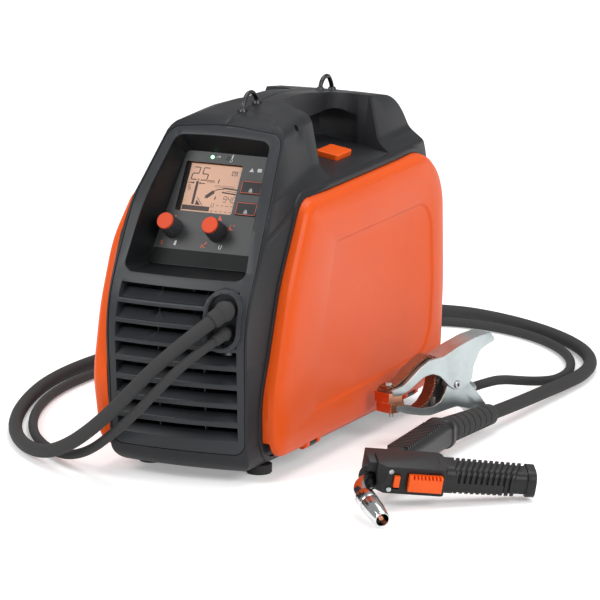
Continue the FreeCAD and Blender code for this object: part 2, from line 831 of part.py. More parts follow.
def dome(outline, start, steps, shrink):
    """A crowned solid: the outline drawn in step by step away from its base."""
    layers = []
    for (h0, d0), (h1, d1) in zip(steps, steps[1:]):
        low = corner_wire(inset(outline, d0 + shrink), "YZ", start + h0)
        high = corner_wire(inset(outline, d1 + shrink), "YZ", start + h1)
        layers.append(Part.makeLoft([low, high], True, True))
    return fuse(layers)


def cover_shell(outline, low):
    """A right-hand cover: a crowned shell with a sunk field, its rim reaching in to the flank.

    Below the height given the rim stops at the hinge side of the flank.
    """
    start = flank + cover_seat
    outer = dome(outline, start, cover_steps, 0.0)
    inner = dome(outline, start - cover_wall, cover_steps, cover_wall)
    mouth = slab(inset(outline, cover_wall), "YZ", start - cover_skirt - 1, start + 0.1)
    skirt = slab(outline, "YZ", start - cover_skirt, start)
    skirt = skirt.cut(box(start - 20, start, -400, 400, -10, low))
    shell = fuse([outer, skirt]).cut([inner, mouth])
    shell = shell.cut(housing_body(-cover_seat))
    low = cover_half - cover_panel_depth
    field = Part.makeLoft([
        corner_wire(inset(panel_outline, 2.4), "YZ", low),
        corner_wire(inset(panel_outline, -1.2), "YZ", cover_half + 1.2)], True, True)
    return shell.cut(field)


def hinge_centres():
    return [Vector(hinge_x, y, hinge_z) for y in hinge_places]


def along_y(radius, centre, start, end):
    return Part.makeCylinder(radius, end - start, Vector(centre.x, centre.y + start, centre.z), Vector(0, 1, 0))


def side_door():
    """The right cover with its hinge lugs, and the striker for the latch on its inside."""
    door = cover_shell(door_outline, hinge_z + 14)
    half = hinge_ear / 2
    for centre in hinge_centres():
        reach = half + hinge_play
        door = door.cut(along_y(hinge_barrel + 1.0, centre, -reach, reach))
        door = door.cut(box(flank - 8, hinge_x, centre.y - reach, centre.y + reach,
                            hinge_z - 5, hinge_z + 5))
        for start in (-reach - hinge_lug, reach):
            lug = along_y(hinge_barrel, centre, start, start + hinge_lug)
            web = box(hinge_x, hinge_x + 5.5, centre.y + start, centre.y + start + hinge_lug,
                      hinge_z - 1.5, hinge_z + 3)
            door = fuse([door, lug, web])
        door = door.cut(along_y(hinge_pin + running, centre, -reach - 12, reach + 12))
    inner, low, high = door_bar
    bar = box(inner, cover_half - cover_panel_depth - 1, latch_y - 5, latch_y + 5, low, high)
    return [door, bar.cut(door)]


def hinge_ears():
    """The housing's side of each hinge."""
    half = hinge_ear / 2
    ears = []
    for centre in hinge_centres():
        barrel = along_y(hinge_barrel, centre, -half, half)
        web = box(flank - 8, hinge_x, centre.y - half, centre.y + half, hinge_z - 3, hinge_z + 3)
        ears.append(fuse([barrel, web]))
    return ears


def hinge_pins():
    half = hinge_ear / 2 + hinge_play + hinge_lug
    return [along_y(hinge_pin, centre, -half, half) for centre in hinge_centres()]


def cover_left():
    shell = cover_shell(left_outline, 0)
    pegs = [rod(5, Vector(flank, y, z), Vector(cover_half - cover_wall, y, z)) for y, z in cover_pegs]
    return fuse([shell] + pegs).mirror(Vector(0, 0, 0), Vector(1, 0, 0))


def latch_frame():
    """Frame of the latch button: its Z is square to the floor of the well."""
    tilt = math.degrees(math.atan(well_floor_fall))
    floor = well_ridge_z - latch_x * well_floor_fall
    return Placement(Vector(latch_x, latch_y, floor), Rotation(Vector(0, 1, 0), tilt))


def in_latch(shape):
    placed = shape.copy()
    placed.Placement = latch_frame().multiply(placed.Placement)
    return placed


def latch_block(grow, low, high, radius):
    half_w = latch_width / 2 + grow
    half_l = latch_length / 2 + grow
    return slab(rectangle(-half_w, half_w, -half_l, half_l, radius), "XY", low, high)


def latch_button():
    """The sliding button with a leg that reaches down beside the door's striker."""
    low = latch_proud - latch_thick
    cap = latch_block(0.0, low, latch_proud, 3.0)
    rim = [e for e in cap.Edges if e.BoundBox.ZMin > latch_proud - 0.1]
    cap = cap.makeFillet(1.2, rim)
    stem = slab(rectangle(-4, 4, -6, 6, 1), "XY", -25, low + 0.2)
    inner, bar_low, bar_high = door_bar
    arm = box(36, inner + 6.5, latch_y + 1, latch_y + 11, 233, 238)
    leg = box(inner + 3, inner + 6.5, latch_y + 6, latch_y + 11, bar_low - 6, 238)
    toe = box(inner + 3, inner + 6.5, latch_y - 4, latch_y + 11, bar_low - 6, bar_low - 0.8)
    button = in_latch(fuse([cap, stem]))
    return [button, fuse([arm, leg, toe]).cut(button)]


def latch_cut():
    """Pocket and stem hole for the latch button."""
    low = latch_proud - latch_thick - latch_travel - 0.5
    pocket = latch_block(latch_gap, low, 20, 3.0)
    hole = slab(rectangle(-4.4, 4.4, -6.4, 6.4, 1), "XY", -latch_boss - 10, 0)
    return in_latch(fuse([pocket, hole]))


def feet_places():
    return [(x, y) for y in (foot_front_y, foot_rear_y) for x in (-foot_x, foot_x)]


def feet():
    pads = []
    for x, y in feet_places():
        pad = Part.makeCone(foot_radius - 0.8, foot_radius, 1.5, Vector(x, y, 0))
        body = Part.makeCylinder(foot_radius, base_height - 1.5, Vector(x, y, 1.5))
        peg = Part.makeCylinder(foot_peg, wall + 2, Vector(x, y, base_height))
        pads.append(fuse([pad, body, peg]))
    return pads


def crest_z(y):
    """Height of the housing's middle line at a place along it."""
    if y < 0:
        slope = brow_drop / (87.4 - 18.0)
        return min(crest_height, crest_height - brow_drop + slope * (y + 87.4))
    slope = tail_drop / (165.0 - 26.0)
    return min(crest_height, crest_height - slope * (y - 26.0))


def strap_loops():
    """Two bent wire eyes for a shoulder strap, each with a collar at both feet."""
    loops = []
    for y0, y1, rise in strap_places:
        z0 = crest_z(y0)
        z1 = crest_z(y1)
        top = max(z0, z1) + rise - strap_wire
        reach = (y1 - y0) * 0.3
        bend = cord("strap", [(0, y0, z0 - 2), (0, y0 + 1, z0 + 5.5), (0, y0 + reach, top),
                              (0, y1 - reach, top), (0, y1 - 1, z1 + 5.5), (0, y1, z1 - 2)],
                    strap_wire * 2)
        pieces = [bend]
        for y, z in ((y0, z0), (y1, z1)):
            pieces.append(Part.makeCone(strap_collar, strap_collar - 1.4, strap_collar_height,
                                        Vector(0, y, z - 1.2)))
            pieces.append(Part.makeCylinder(strap_collar - 1.5, 4, Vector(0, y, z - 5)))
        loops.append(fuse(pieces))
    return loops


def strap_sockets():
    """What the strap eyes' collars and pegs take out of the shells."""
    cuts = []
    for y0, y1, rise in strap_places:
        for y in (y0, y1):
            z = crest_z(y)
            cuts.append(Part.makeCylinder(strap_collar + 0.1, 12, Vector(0, y, z - 1.2)))
            cuts.append(Part.makeCylinder(strap_collar - 1.3, 8, Vector(0, y, z - 6)))
    return cuts


def bezel_seat():
    """The ledge inside the housing that the bezel lies on."""
    wide = slab(inset(bezel_outline, -bezel_lip_width), "XZ", front_y - 12, -60)
    ring = wide.cut(slab(inset(bezel_outline, bezel_lip_reach), "XZ", front_y - 14, -50))
    deep = bezel_skin
    ring = ring.common(front_body(deep)).cut(front_body(deep + bezel_lip))
    return ring.common(housing_body(1.0))


def housing():
    """The whole housing before it is split at the middle plane."""
    outside = housing_body(0.0).cut(handle_well(0.0))
    hollow = housing_body(wall).cut(handle_well(wall))
    boss = in_latch(latch_block(5.0, -latch_boss, 0, 3.0))
    shell = outside.cut(hollow)
    shell = fuse([shell, boss.common(outside)])
    shell = fuse([shell, bezel_seat()])
    prism = slab(inset(bezel_outline, -bezel_gap), "XZ", front_y - 12, -60)
    shell = shell.cut(prism.common(front_body(-3.0)).cut(front_body(bezel_skin)))
    rear_frame = slab(rectangle(-rear_plate_half - 9, rear_plate_half + 9, rear_plate_low - 9,
                                rear_plate_high + 9, 8), "XZ", rear_plate_y - rear_lip, rear_y)
    rear_window = slab(rear_plate_outline(-0.3), "XZ", rear_plate_y, rear_y + 10)
    rear_inner = slab(rear_plate_outline(4.5), "XZ", rear_plate_y - rear_lip - 5, rear_y)
    shell = fuse([shell, rear_frame.common(housing_body(1.0))]).cut([rear_window, rear_inner])
    aperture = slab(inset(door_outline, 20.0), "YZ", flank - 12, flank + 10)
    shell = fuse([shell.cut(aperture), door_rim(), neck_boss()])
    seam = box(-seam_half, seam_half, -400, 400, seam_low, 400).cut(housing_body(seam_depth))
    shell = fuse([shell.cut(seam)] + hinge_ears())
    for centre in hinge_centres():
        shell = shell.cut(along_y(hinge_pin + 0.02, centre, -hinge_ear, hinge_ear))
    shell = shell.cut(latch_cut())
    holes = [Part.makeCylinder(foot_peg + 0.1, 12, Vector(x, y, base_height - 2))
             for x, y in feet_places()]
    x, y = well_screw
    floor = well_ridge_z - x * well_floor_fall
    holes.append(rod(3.4, Vector(x, y, floor - 1.5), Vector(x, y, floor + 6)))
    seat, head = neck_screw()
    holes.append(rod(3.4, seat, Vector(flank, seat.y, seat.z)))
    return shell.cut(holes + strap_sockets())


def neck_screw():
    """Where the neck's screw is seated, and the top of its head."""
    seat = Vector(neck_screw_seat, neck_screw_y, crest_height - neck_screw_drop)
    return seat, seat + Vector(1.6, 0, 0)


def neck_boss():
    """The boss in the right shell that carries the neck's screw."""
    seat = neck_screw()[0]
    boss = rod(5.5, seat - Vector(6, 0, 0), Vector(flank, seat.y, seat.z))
    return boss.common(housing_body(0.0))


def door_rim():
    """The low raised rim on the right shell round the door."""
    outer = slab(inset(door_outline, -rim_gap - rim_width), "YZ", flank - 16, flank + 12)
    ring = outer.cut(slab(inset(door_outline, -rim_gap), "YZ", flank - 17, flank + 13))
    ring = ring.common(housing_body(-rim_proud)).common(rear_body(0.0))
    return ring.cut(housing_body(wall / 2))


def rear_plate_outline(distance):
    return inset(rectangle(-rear_plate_half, rear_plate_half, rear_plate_low, rear_plate_high, 7),
                 distance)


def rear_panel():
    plate = slab(rear_plate_outline(0.0), "XZ", rear_plate_y, rear_plate_y + rear_plate_thick)
    cuts = []
    sx, sz = switch_place
    cuts.append(box(sx - 10.3, sx + 10.3, 180, 220, sz - 14.3, sz + 14.3))
    cuts.append(rod(9.2, Vector(inlet_place[0], 180, inlet_place[1]), Vector(inlet_place[0], 220, inlet_place[1])))
    cuts.append(rod(7.2, Vector(gas_place[0], 180, gas_place[1]), Vector(gas_place[0], 220, gas_place[1])))
    for i in range(9):
        z = 96.0 + i * 8.0
        cuts.append(slab(rectangle(-48, -4, z, z + 3.6, 1.7), "XZ", 180, 220))
    return plate.cut(cuts)


def mains_switch():
    """The switch body in the rear panel, open towards the rear for its rocker."""
    x, z = switch_place
    back = rear_plate_y + rear_plate_thick
    body = box(x - 10, x + 10, back - 27, back, z - 14, z + 14)
    flange = box(x - 12.5, x + 12.5, back, back + 3, z - 16.5, z + 16.5)
    shell = fuse([body, flange])
    well = box(x - rocker_half_width - 0.3, x + rocker_half_width + 0.3, rocker_y - rocker_radius - 0.6,
               back + 10, z - rocker_radius - 0.6, z + rocker_radius + 0.6)
    pin = rod(rocker_pin + running, Vector(x - 9.4, rocker_y, z), Vector(x + 9.4, rocker_y, z))
    return shell.cut([well, pin])


def switch_rocker():
    x, z = switch_place
    drum = rod(rocker_radius, Vector(x - rocker_half_width, rocker_y, z), Vector(x + rocker_half_width, rocker_y, z))
    dish = slab([(rocker_y + 7.5, z, 0), (rocker_y + 10.5, z + 12, 0), (rocker_y + 20, z + 12, 0),
                 (rocker_y + 20, z - 12, 0), (rocker_y + 10.5, z - 12, 0)], "YZ", x - 20, x + 20)
    pin = rod(rocker_pin, Vector(x - 9.2, rocker_y, z), Vector(x + 9.2, rocker_y, z))
    rocker = fuse([drum.cut(dish), pin])
    rocker.rotate(Vector(x, rocker_y, z), Vector(1, 0, 0), rocker_rest)
    return rocker


def mains_gland():
    """Cable gland for the mains lead, with its nut inside the rear panel."""
    x, z = inlet_place
    back = rear_plate_y + rear_plate_thick
    hexagon = [(x + 12.5 * math.cos(math.radians(a)), z + 12.5 * math.sin(math.radians(a)), 0.5)
               for a in range(0, 360, 60)]
    body = fuse([
        rod(9.0, Vector(x, rear_plate_y - 9, z), Vector(x, back + 1, z)),
        slab(hexagon, "XZ", rear_plate_y - 5, rear_plate_y),
        slab(hexagon, "XZ", back, back + 5),
        Part.makeCone(10.5, 8.0, 9, Vector(x, back + 5, z), Vector(0, 1, 0)),
    ])
    return body.cut(rod(mains_bore, Vector(x, 150, z), Vector(x, 230, z)))


def gas_inlet():
    """Brass hose tail through the rear panel."""
    x, z = gas_place
    back = rear_plate_y + rear_plate_thick
    hexagon = [(x + 10.5 * math.cos(math.radians(a)), z + 10.5 * math.sin(math.radians(a)), 0.4)
               for a in range(30, 390, 60)]
    tail = [(0.0, gas_bore + 1.2), (3.0, gas_bore + 1.2)]
    for i in range(3):
        tail += [(3.0 + i * 3, gas_bore + 2.6), (6.0 + i * 3, gas_bore + 1.2)]
    barb = turned(tail, Vector(x, back + 6, z), Vector(0, 1, 0))
    body = fuse([
        rod(7.0, Vector(x, rear_plate_y - 7, z), Vector(x, back + 1, z)),
        slab(hexagon, "XZ", rear_plate_y - 4, rear_plate_y),
        slab(hexagon, "XZ", back, back + 6),
        barb,
    ])
    return body.cut(rod(gas_bore, Vector(x, 150, z), Vector(x, 240, z)))


def gas_valve():
    """Solenoid valve behind the gas inlet, on a foot."""
    x, z = gas_place
    face = rear_plate_y - 7
    body = box(x - 11, x + 11, face - 21, face, z - 15, z + 8)
    coil = rod(9, Vector(x - 20, face - 10.5, z - 4), Vector(x - 11, face - 10.5, z - 4))
    foot = box(x - 6, x + 6, face - 21, face - 16, base_height + wall, z - 14)
    return fuse([body, coil, foot])


def wall_holes():
    """Openings in the steel middle wall."""
    y, z = motor_centre
    holes = [rod(roll_shaft + 2, Vector(0, y, z), Vector(20, y, z))]
    for hy, hz in ((-130, 150), (-40, 215), (40, 30)):
        holes.append(rod(9, Vector(0, hy, hz), Vector(20, hy, hz)))
    return holes


def mid_wall():
    """Bent steel sheet that parts the electronics from the wire compartment."""
    x = mid_wall_x
    outline = [(-150, base_height + wall, 0), (mid_wall_rear, base_height + wall, rear_foot_radius),
               (mid_wall_rear, mid_wall_top, 10), (-60, mid_wall_top, 10), (-105, 182, 10),
               (fan_y, 182, 6), (fan_y, 44, 6)]
    upright = slab(outline, "YZ", x, x + sheet)
    foot = box(x, x + 16, -148, 158, base_height + wall, base_height + wall + sheet)
    return fuse([upright, foot]).cut(wall_holes())


def power_board():
    """Main board with its capacitors, on stand-offs from the floor of the housing."""
    low = base_height + wall
    level = low + 12
    pieces = [box(-62, 4, -110, 98, level, level + 1.6)]
    for x in (-52, -1):
        for y in (-104, 92):
            pieces.append(rod(3.2, Vector(x, y, low), Vector(x, y, level)))
    for x, y in ((-42, 42), (-42, 78), (-12, 42), (-12, 78)):
        can = rod(14.5 if x < -20 else 11.0, Vector(x, y, level), Vector(x, y, level + 46))
        pieces.append(can)
    for y in (-98, -86, -74):
        pieces.append(box(-20, -6, y, y + 8, level, level + 14))
    return fuse(pieces)


def heat_sink():
    """Finned block on two feet over the board's switching devices."""
    base = base_height + wall + 12 + 1.6
    pieces = [box(-60, -8, -64, 20, base, base + 6)]
    for i in range(9):
        x = -60 + i * 6.25
        pieces.append(box(x, x + 2, -64, 20, base + 5, base + 42))
    return fuse(pieces)


def transformer():
    """Laminated core with one winding, standing on the floor of the housing."""
    low = base_height + wall
    core = box(-46, 4, 106, 166, low, low + 52).cut(box(-60, 20, 120, 152, low + 12, low + 40))
    leg = box(-40, -2, 130, 142, low + 10, low + 42)
    coil = slab(rectangle(-52, 6, 122, 150, 6), "XY", low + 13, low + 39)
    return fuse([core, leg, coil])


def fan_frame():
    """Square fan housing against the middle wall: open ring, four struts and a spindle."""
    x = mid_wall_x - fan_half
    back = fan_y + fan_depth
    frame = box(x - fan_half, x + fan_half, fan_y, back, fan_z - fan_half, fan_z + fan_half)
    frame = frame.cut(rod(fan_half - 2, Vector(x, fan_y - 1, fan_z), Vector(x, back + 1, fan_z)))
    plate = rod(14, Vector(x, back - 3, fan_z), Vector(x, back, fan_z))
    pin = rod(fan_spindle, Vector(x, fan_y + 3, fan_z), Vector(x, back - 1, fan_z))
    pieces = [frame, plate, pin]
    for angle in (45, 135, 225, 315):
        strut = box(10, fan_half + 4, back - 3, back, -2, 2)
        strut.rotate(Vector(0, 0, 0), Vector(0, 1, 0), angle)
        strut.translate(Vector(x, 0, fan_z))
        pieces.append(strut)
    return fuse(pieces)


def fan_rotor():
    x = mid_wall_x - fan_half
    back = fan_y + fan_depth
    hub = rod(13, Vector(x, fan_y + 2, fan_z), Vector(x, back - 3.5, fan_z))
    pieces = [hub]
    for i in range(fan_blades):
        blade = box(11, fan_half - 3, -9, 9, -0.9, 0.9)
        blade.rotate(Vector(0, 0, 0), Vector(1, 0, 0), 38)
        blade.rotate(Vector(0, 0, 0), Vector(0, 1, 0), 360 * i / fan_blades)
        blade.translate(Vector(x, (fan_y + back) / 2 - 1, fan_z))
        pieces.append(blade)
    rotor = fuse(pieces)
    return rotor.cut(rod(fan_spindle + running, Vector(x, fan_y, fan_z), Vector(x, back, fan_z)))


def feeder_plate():
    """Wire feeder's bed on the middle wall, with guides, arm pin and anvil."""
    x = mid_wall_x + sheet
    y, z = motor_centre
    ay, az = arm_pivot
    bed = slab([(-122, 92, 6), (-34, 92, 6), (-34, 150, 6), (-96, 172, 6), (-122, 172, 6)], "YZ", x, x + 10)
    level = z + roll_radius + wire_diameter / 2
    pieces = [
        bed,
        rod(arm_pin, Vector(x + 8, ay, az), Vector(feed_x + roll_width + 15, ay, az)),
        box(x + 8, feed_x + 8, -37, -34, level - 12, level + 5),
        box(x + 8, feed_x + 8, -122, -112, level - 12, level + 5),
        box(x + 8, feed_x + 14, -52, -44, level - 22, level - 6),
    ]
    holes = [
        rod(1.2, Vector(feed_x + roll_width / 2 - 2, -140, level), Vector(feed_x + roll_width / 2 - 2, -20, level)),
        rod(roll_shaft + 2, Vector(0, y, z), Vector(x + 12, y, z)),
    ]
    return fuse(pieces).cut(holes)


def feeder_motor():
    """Geared motor on the far side of the middle wall, its shaft through to the roll."""
    y, z = motor_centre
    x = mid_wall_x
    return fuse([
        rod(motor_radius, Vector(x - motor_length, y, z), Vector(x - 14, y, z)),
        box(x - 16, x, y - 22, y + 22, z - 22, z + 22),
        rod(7, Vector(x - motor_length - 3, y, z), Vector(x - motor_length + 1, y, z)),
        rod(roll_shaft, Vector(x - 2, y, z), Vector(feed_x + roll_width + 1, y, z)),
    ])


def feed_roll(height, bore):
    """A grooved roll on an axis along X, at a height."""
    y = motor_centre[0]
    half = roll_width / 2
    profile = [(0, roll_radius - 1), (1, roll_radius), (half - 2.9, roll_radius), (half - 2, roll_radius - 0.5),
               (half - 1.1, roll_radius), (roll_width - 1, roll_radius), (roll_width, roll_radius - 1)]
    roll = turned(profile, Vector(feed_x, y, height), Vector(1, 0, 0))
    return roll.cut(rod(bore, Vector(feed_x - 1, y, height), Vector(feed_x + roll_width + 1, y, height)))


def drive_roll():
    """The motor's roll with its knurled nut."""
    y, z = motor_centre
    roll = feed_roll(z, roll_shaft + running)
    nut = rod(7, Vector(feed_x + roll_width, y, z), Vector(feed_x + roll_width + 5, y, z))
    nut = nut.cut(rod(roll_shaft + running, Vector(feed_x, y, z), Vector(feed_x + roll_width + 2, y, z)))
    return fuse([roll, nut])


def pressure_height():
    return motor_centre[1] + 2 * roll_radius + wire_diameter


def pressure_roll():
    return feed_roll(pressure_height(), roll_shaft + running)


def pressure_arm():
    """Swinging arm over the drive roll, carrying the pressure roll's axle."""
    ay, az = arm_pivot
    y = motor_centre[0]
    x = feed_x + roll_width + 3
    z = pressure_height()
    arm = slab([(ay - 8, az - 8, 7), (-36, z - 4, 5), (-36, z + 8, 5), (ay - 8, az + 8, 7)], "YZ", x, x + 6)
    pieces = [
        arm,
        rod(roll_shaft, Vector(feed_x - 1, y, z), Vector(x + 1, y, z)),
        rod(7, Vector(feed_x + roll_width + 0.5, y, z), Vector(x + 1, y, z)),
        rod(6.5, Vector(feed_x - 2, ay, az), Vector(x + 6, ay, az)),
        box(x - 8, x + 1, knob_y - 5, knob_y + 5, z - 3.5, z + knob_seat),
    ]
    holes = [
        rod(arm_pin + running, Vector(0, ay, az), Vector(100, ay, az)),
        rod(tension_stem + running, Vector(x - 3, knob_y, z - 20), Vector(x - 3, knob_y, z + 20)),
    ]
    return fuse(pieces).cut(holes)


def tension_knob():
    """Knob and stem that set the pressure, turning in the arm's end."""
    x = feed_x + roll_width
    z = pressure_height()
    base = z + knob_seat + 0.4
    stem = rod(tension_stem, Vector(x, knob_y, z - 9), Vector(x, knob_y, z + 14))
    profile = [(0, 6.0), (2, 7.5), (20, 8.5), (22, 7.5)]
    head = turned(profile, Vector(x, knob_y, base), Vector(0, 0, 1))
    grooves = [rod(0.9, Vector(x + 9.0 * math.cos(a), knob_y + 9.0 * math.sin(a), z + 8),
                   Vector(x + 9.0 * math.cos(a), knob_y + 9.0 * math.sin(a), z + 40))
               for a in [2 * math.pi * i / 12 for i in range(12)]]
    return fuse([stem, head.cut(grooves)])


def spool_axle():
    """Hub for the wire spool, on the middle wall, with its retaining disc."""
    y, z = spool_centre
    x = mid_wall_x + sheet
    end = spool_x + spool_width
    return fuse([
        rod(33, Vector(x, y, z), Vector(x + 4, y, z)),
        rod(spool_bore, Vector(x, y, z), Vector(end + 1, y, z)),
        rod(29, Vector(end + 0.6, y, z), Vector(end + 4, y, z)),
        box(end + 3, end + 7, y - 20, y + 20, z - 4, z + 4),
    ])


def wire_spool():
    y, z = spool_centre
    end = spool_x + spool_width
    body = fuse([
        rod(spool_radius, Vector(spool_x, y, z), Vector(spool_x + spool_flange, y, z)),
        rod(spool_radius, Vector(end - spool_flange, y, z), Vector(end, y, z)),
        rod(spool_barrel, Vector(spool_x, y, z), Vector(end, y, z)),
    ])
    cuts = [rod(spool_bore + running, Vector(0, y, z), Vector(100, y, z))]
    for i in range(6):
        a = 2 * math.pi * i / 6
        at = Vector(0, y + 38 * math.cos(a), z + 38 * math.sin(a))
        cuts.append(rod(8, Vector(0, at.y, at.z), Vector(100, at.y, at.z)))
    return body.cut(cuts)


def wire_winding():
    y, z = spool_centre
    start = Vector(spool_x + spool_flange, y, z)
    end = Vector(spool_x + spool_width - spool_flange, y, z)
    return pipe(winding_radius, spool_barrel, start, end)


def housing_screws():
    """Screws that close the housing and hold the rear panel and the left cover."""
    screws = []
    back = rear_plate_y + rear_plate_thick
    for x in (-rear_plate_half + 5, rear_plate_half - 5):
        for z in (rear_plate_low + 6, rear_plate_high - 6):
            head = Part.makeCone(3.4, 2.6, 1.6, Vector(x, back, z), Vector(0, 1, 0))
            screws.append(head)
    floor = well_ridge_z - well_screw[0] * well_floor_fall
    screws.append(rod(3.4, Vector(well_screw[0], well_screw[1], floor - 1.5),
                      Vector(well_screw[0], well_screw[1], floor + 1.2)))
    screws.append(rod(3.1, *neck_screw()))
    return screws


def torch_frame(front, rear):
    """Frame at the rear of the torch body: Z towards the nozzle, X to its right, Y up."""
    way = front - rear
    way.normalize()
    right = Vector(0, 0, 1).cross(way)
    right.normalize()
    up = way.cross(right)
    matrix = FreeCAD.Matrix(right.x, up.x, way.x, rear.x, right.y, up.y, way.y, rear.y,
                            right.z, up.z, way.z, rear.z, 0, 0, 0, 1)
    return Placement(matrix)


def body_frame():
    return torch_frame(torch_front, torch_rear)


def placed(shape, frame):
    moved = shape.copy()
    moved.Placement = frame.multiply(moved.Placement)
    return moved


def section(half_width, low, high, radius, at):
    return corner_wire(rectangle(-half_width, half_width, low, high, radius), "XY", at)


def torch_shaft():
    """The torch's body: a tapering shell with a rear flange, ribs on top and a collar."""
    length = (torch_front - torch_rear).Length
    stations = [(0, 15.0, -14, 14, 9), (7, 15.0, -14, 14, 9), (9, 13.6, -12.6, 12.6, 8),
                (60, 14.2, -12.6, 12.8, 9), (130, 13.2, -12.4, 12.4, 10), (length - 14, 12.0, -12, 12, 10)]
    shapes = []
    for (z0, w0, a0, b0, r0), (z1, w1, a1, b1, r1) in zip(stations, stations[1:]):
        shapes.append(Part.makeLoft([section(w0, a0, b0, r0, z0), section(w1, a1, b1, r1, z1)], True, True))
    shapes.append(rod(10.2, Vector(0, 0, length - 15), Vector(0, 0, length + 1)))
    shapes.append(rod(11.6, Vector(0, 0, length - 6), Vector(0, 0, length - 1)))
    for i in range(torch_ribs):
        z = 22 + i * torch_rib_pitch
        shapes.append(box(-10, 10, 8, 13.5 - i * 0.02, z, z + torch_rib_pitch * 0.5))
    shell = fuse(shapes)
    return placed(shell, body_frame()).cut(torch_neck())


def sleeve_end():
    """Centre of the sleeve's far end, where the torch's cable enters."""
    return torch_rear + sleeve_way() * sleeve_length


def sleeve_way():
    way = Vector(*sleeve_run)
    way.normalize()
    return way


def torch_sleeve():
    """Ribbed bend relief between the torch body and its cable."""
    profile = [(0, 13.0)]
    start = 12.0
    for i in range(sleeve_ribs):
        z = start + i * sleeve_pitch
        r = 13.0 - 3.0 * z / sleeve_length
        profile += [(z, r), (z, r - 1.3), (z + 1.4, r - 1.3), (z + 1.4, r)]
    profile += [(sleeve_length - 2, 10.0), (sleeve_length, 9.0)]
    sleeve = turned(profile, torch_rear, sleeve_way())
    return sleeve.cut(torch_shaft())


def neck_points():
    """Neck: out of the body's collar, then bent to the nozzle's direction."""
    way = torch_front - torch_rear
    way.normalize()
    return [torch_front - way * 11, torch_front + Vector(*neck_bend), nozzle_at(nozzle_seat[1])]


def nozzle_way():
    way = Vector(*nozzle_run)
    way.normalize()
    return way


def nozzle_at(distance):
    return torch_front + Vector(*neck_bend) + nozzle_way() * distance


def torch_neck():
    return cord("neck", [tuple(p) for p in neck_points()], neck_radius * 2)


def gas_nozzle():
    """Chromed nozzle pushed over the neck."""
    start, seat = nozzle_seat
    end = start + nozzle_length
    outer = turned([(0, 8.8), (1, 9.3), (14, 9.3), (15, 8.7), (16, 9.2), (30, 8.9), (nozzle_length - 1, nozzle_mouth),
                    (nozzle_length, nozzle_mouth - 0.4)], nozzle_at(start), nozzle_way())
    return outer.cut([rod(neck_radius, nozzle_at(start - 1), nozzle_at(seat)),
                      rod(nozzle_bore, nozzle_at(seat - 1), nozzle_at(end + 1))])


def contact_tip():
    start, seat = nozzle_seat
    end = start + nozzle_length - 2.5
    holder = rod(4.2, nozzle_at(seat), nozzle_at(seat + 10))
    tip = rod(tip_radius, nozzle_at(seat), nozzle_at(end))
    return fuse([holder, tip]).cut(rod(0.6, nozzle_at(seat + 4), nozzle_at(end + 1)))


def grip_frame():
    """Frame of the grip: X along it, Y out of its front face, Z down."""
    along = grip_end - grip_root
    along.normalize()
    front = along.cross(Vector(0, 0, 1))
    front.normalize()
    roll = math.radians(grip_roll)
    front = front * math.cos(roll) + along.cross(front) * math.sin(roll)
    down = along.cross(front)
    matrix = FreeCAD.Matrix(along.x, front.x, down.x, grip_root.x, along.y, front.y, down.y, grip_root.y,
                            along.z, front.z, down.z, grip_root.z, 0, 0, 0, 1)
    return Placement(matrix)


def grip_section(x, half_width, half_thick, radius):
    ring = corner_wire(rectangle(-half_width, half_width, -half_thick, half_thick, radius), "YZ", x)
    return ring


def torch_grip():
    """Pistol grip: a block with the trigger, then a handle with slanted ribs."""
    length = (grip_end - grip_root).Length
    core = Part.makeLoft([grip_section(30, 15.5, 11.6, 9), grip_section(length - 8, 13.5, 11.0, 9)], True, True)
    full = Part.makeLoft([grip_section(30, 17.6, 13.6, 10.5), grip_section(length, 15.4, 12.8, 10)], True, True)
    ribs = []
    for i in range(grip_ribs):
        x = 47 + i * grip_pitch
        ring = box(x, x + grip_pitch * 0.55, -30, 30, -30, 30)
        ring.rotate(Vector(x, 0, 0), Vector(0, 0, 1), grip_rib_slant)
        ribs.append(ring)
    ribs = fuse(ribs).common(full)
    belt = full.common(box(38, 52, -40, 40, -40, 40))
    smooth = full.common(box(50, length - 30, grip_smooth - 4, 40, -1, 9))
    cap = full.common(box(length - 8, length + 1, -40, 40, -40, 40))
    block = slab([(-19, -14, 6), (2, -17, 10), (44, -17, 6), (44, 17.5, 4), (-12, 17.5, 3), (-19, 11, 4)],
                 "XY", -13.4, 13.4)
    bridge = box(-26, 4, -24, 4, -10, 10)
    shape = fuse([core, ribs, belt, smooth, cap, block, bridge])
    x0, x1, z0, z1 = trigger_window
    pocket = box(x0, x1, 6.0, 30, z0, z1)
    pin_hole = rod(1.5, Vector(x0 + 3.5, trigger_pin_y, -12), Vector(x0 + 3.5, trigger_pin_y, 12))
    l0, l1, m0, m1 = lock_window
    slot = box(l0, l1, 10.5, 30, m0, m1)
    shape = shape.cut([pocket, slot])
    shape = fuse([shape, pin_hole])
    for z in (-9.0, 9.0):
        shape = shape.cut(rod(1.5, Vector(torch_screw_x, 10, z), Vector(torch_screw_x, 18, z)))
    start, bend = neck_points()[:2]
    ahead = bend - start
    ahead.normalize()
    passage = rod(neck_radius + 1.1, start, bend + ahead * 10)
    return placed(shape, grip_frame()).cut([torch_shaft(), passage])


def torch_screws():
    screws = []
    for z in (-9.0, 9.0):
        head = Part.makeCylinder(2.2, 1.2, Vector(torch_screw_x, 17.5, z), Vector(0, 1, 0))
        shank = Part.makeCylinder(1.5, 7.5, Vector(torch_screw_x, 10.0, z), Vector(0, 1, 0))
        screws.append(placed(fuse([head, shank]), grip_frame()))
    return screws


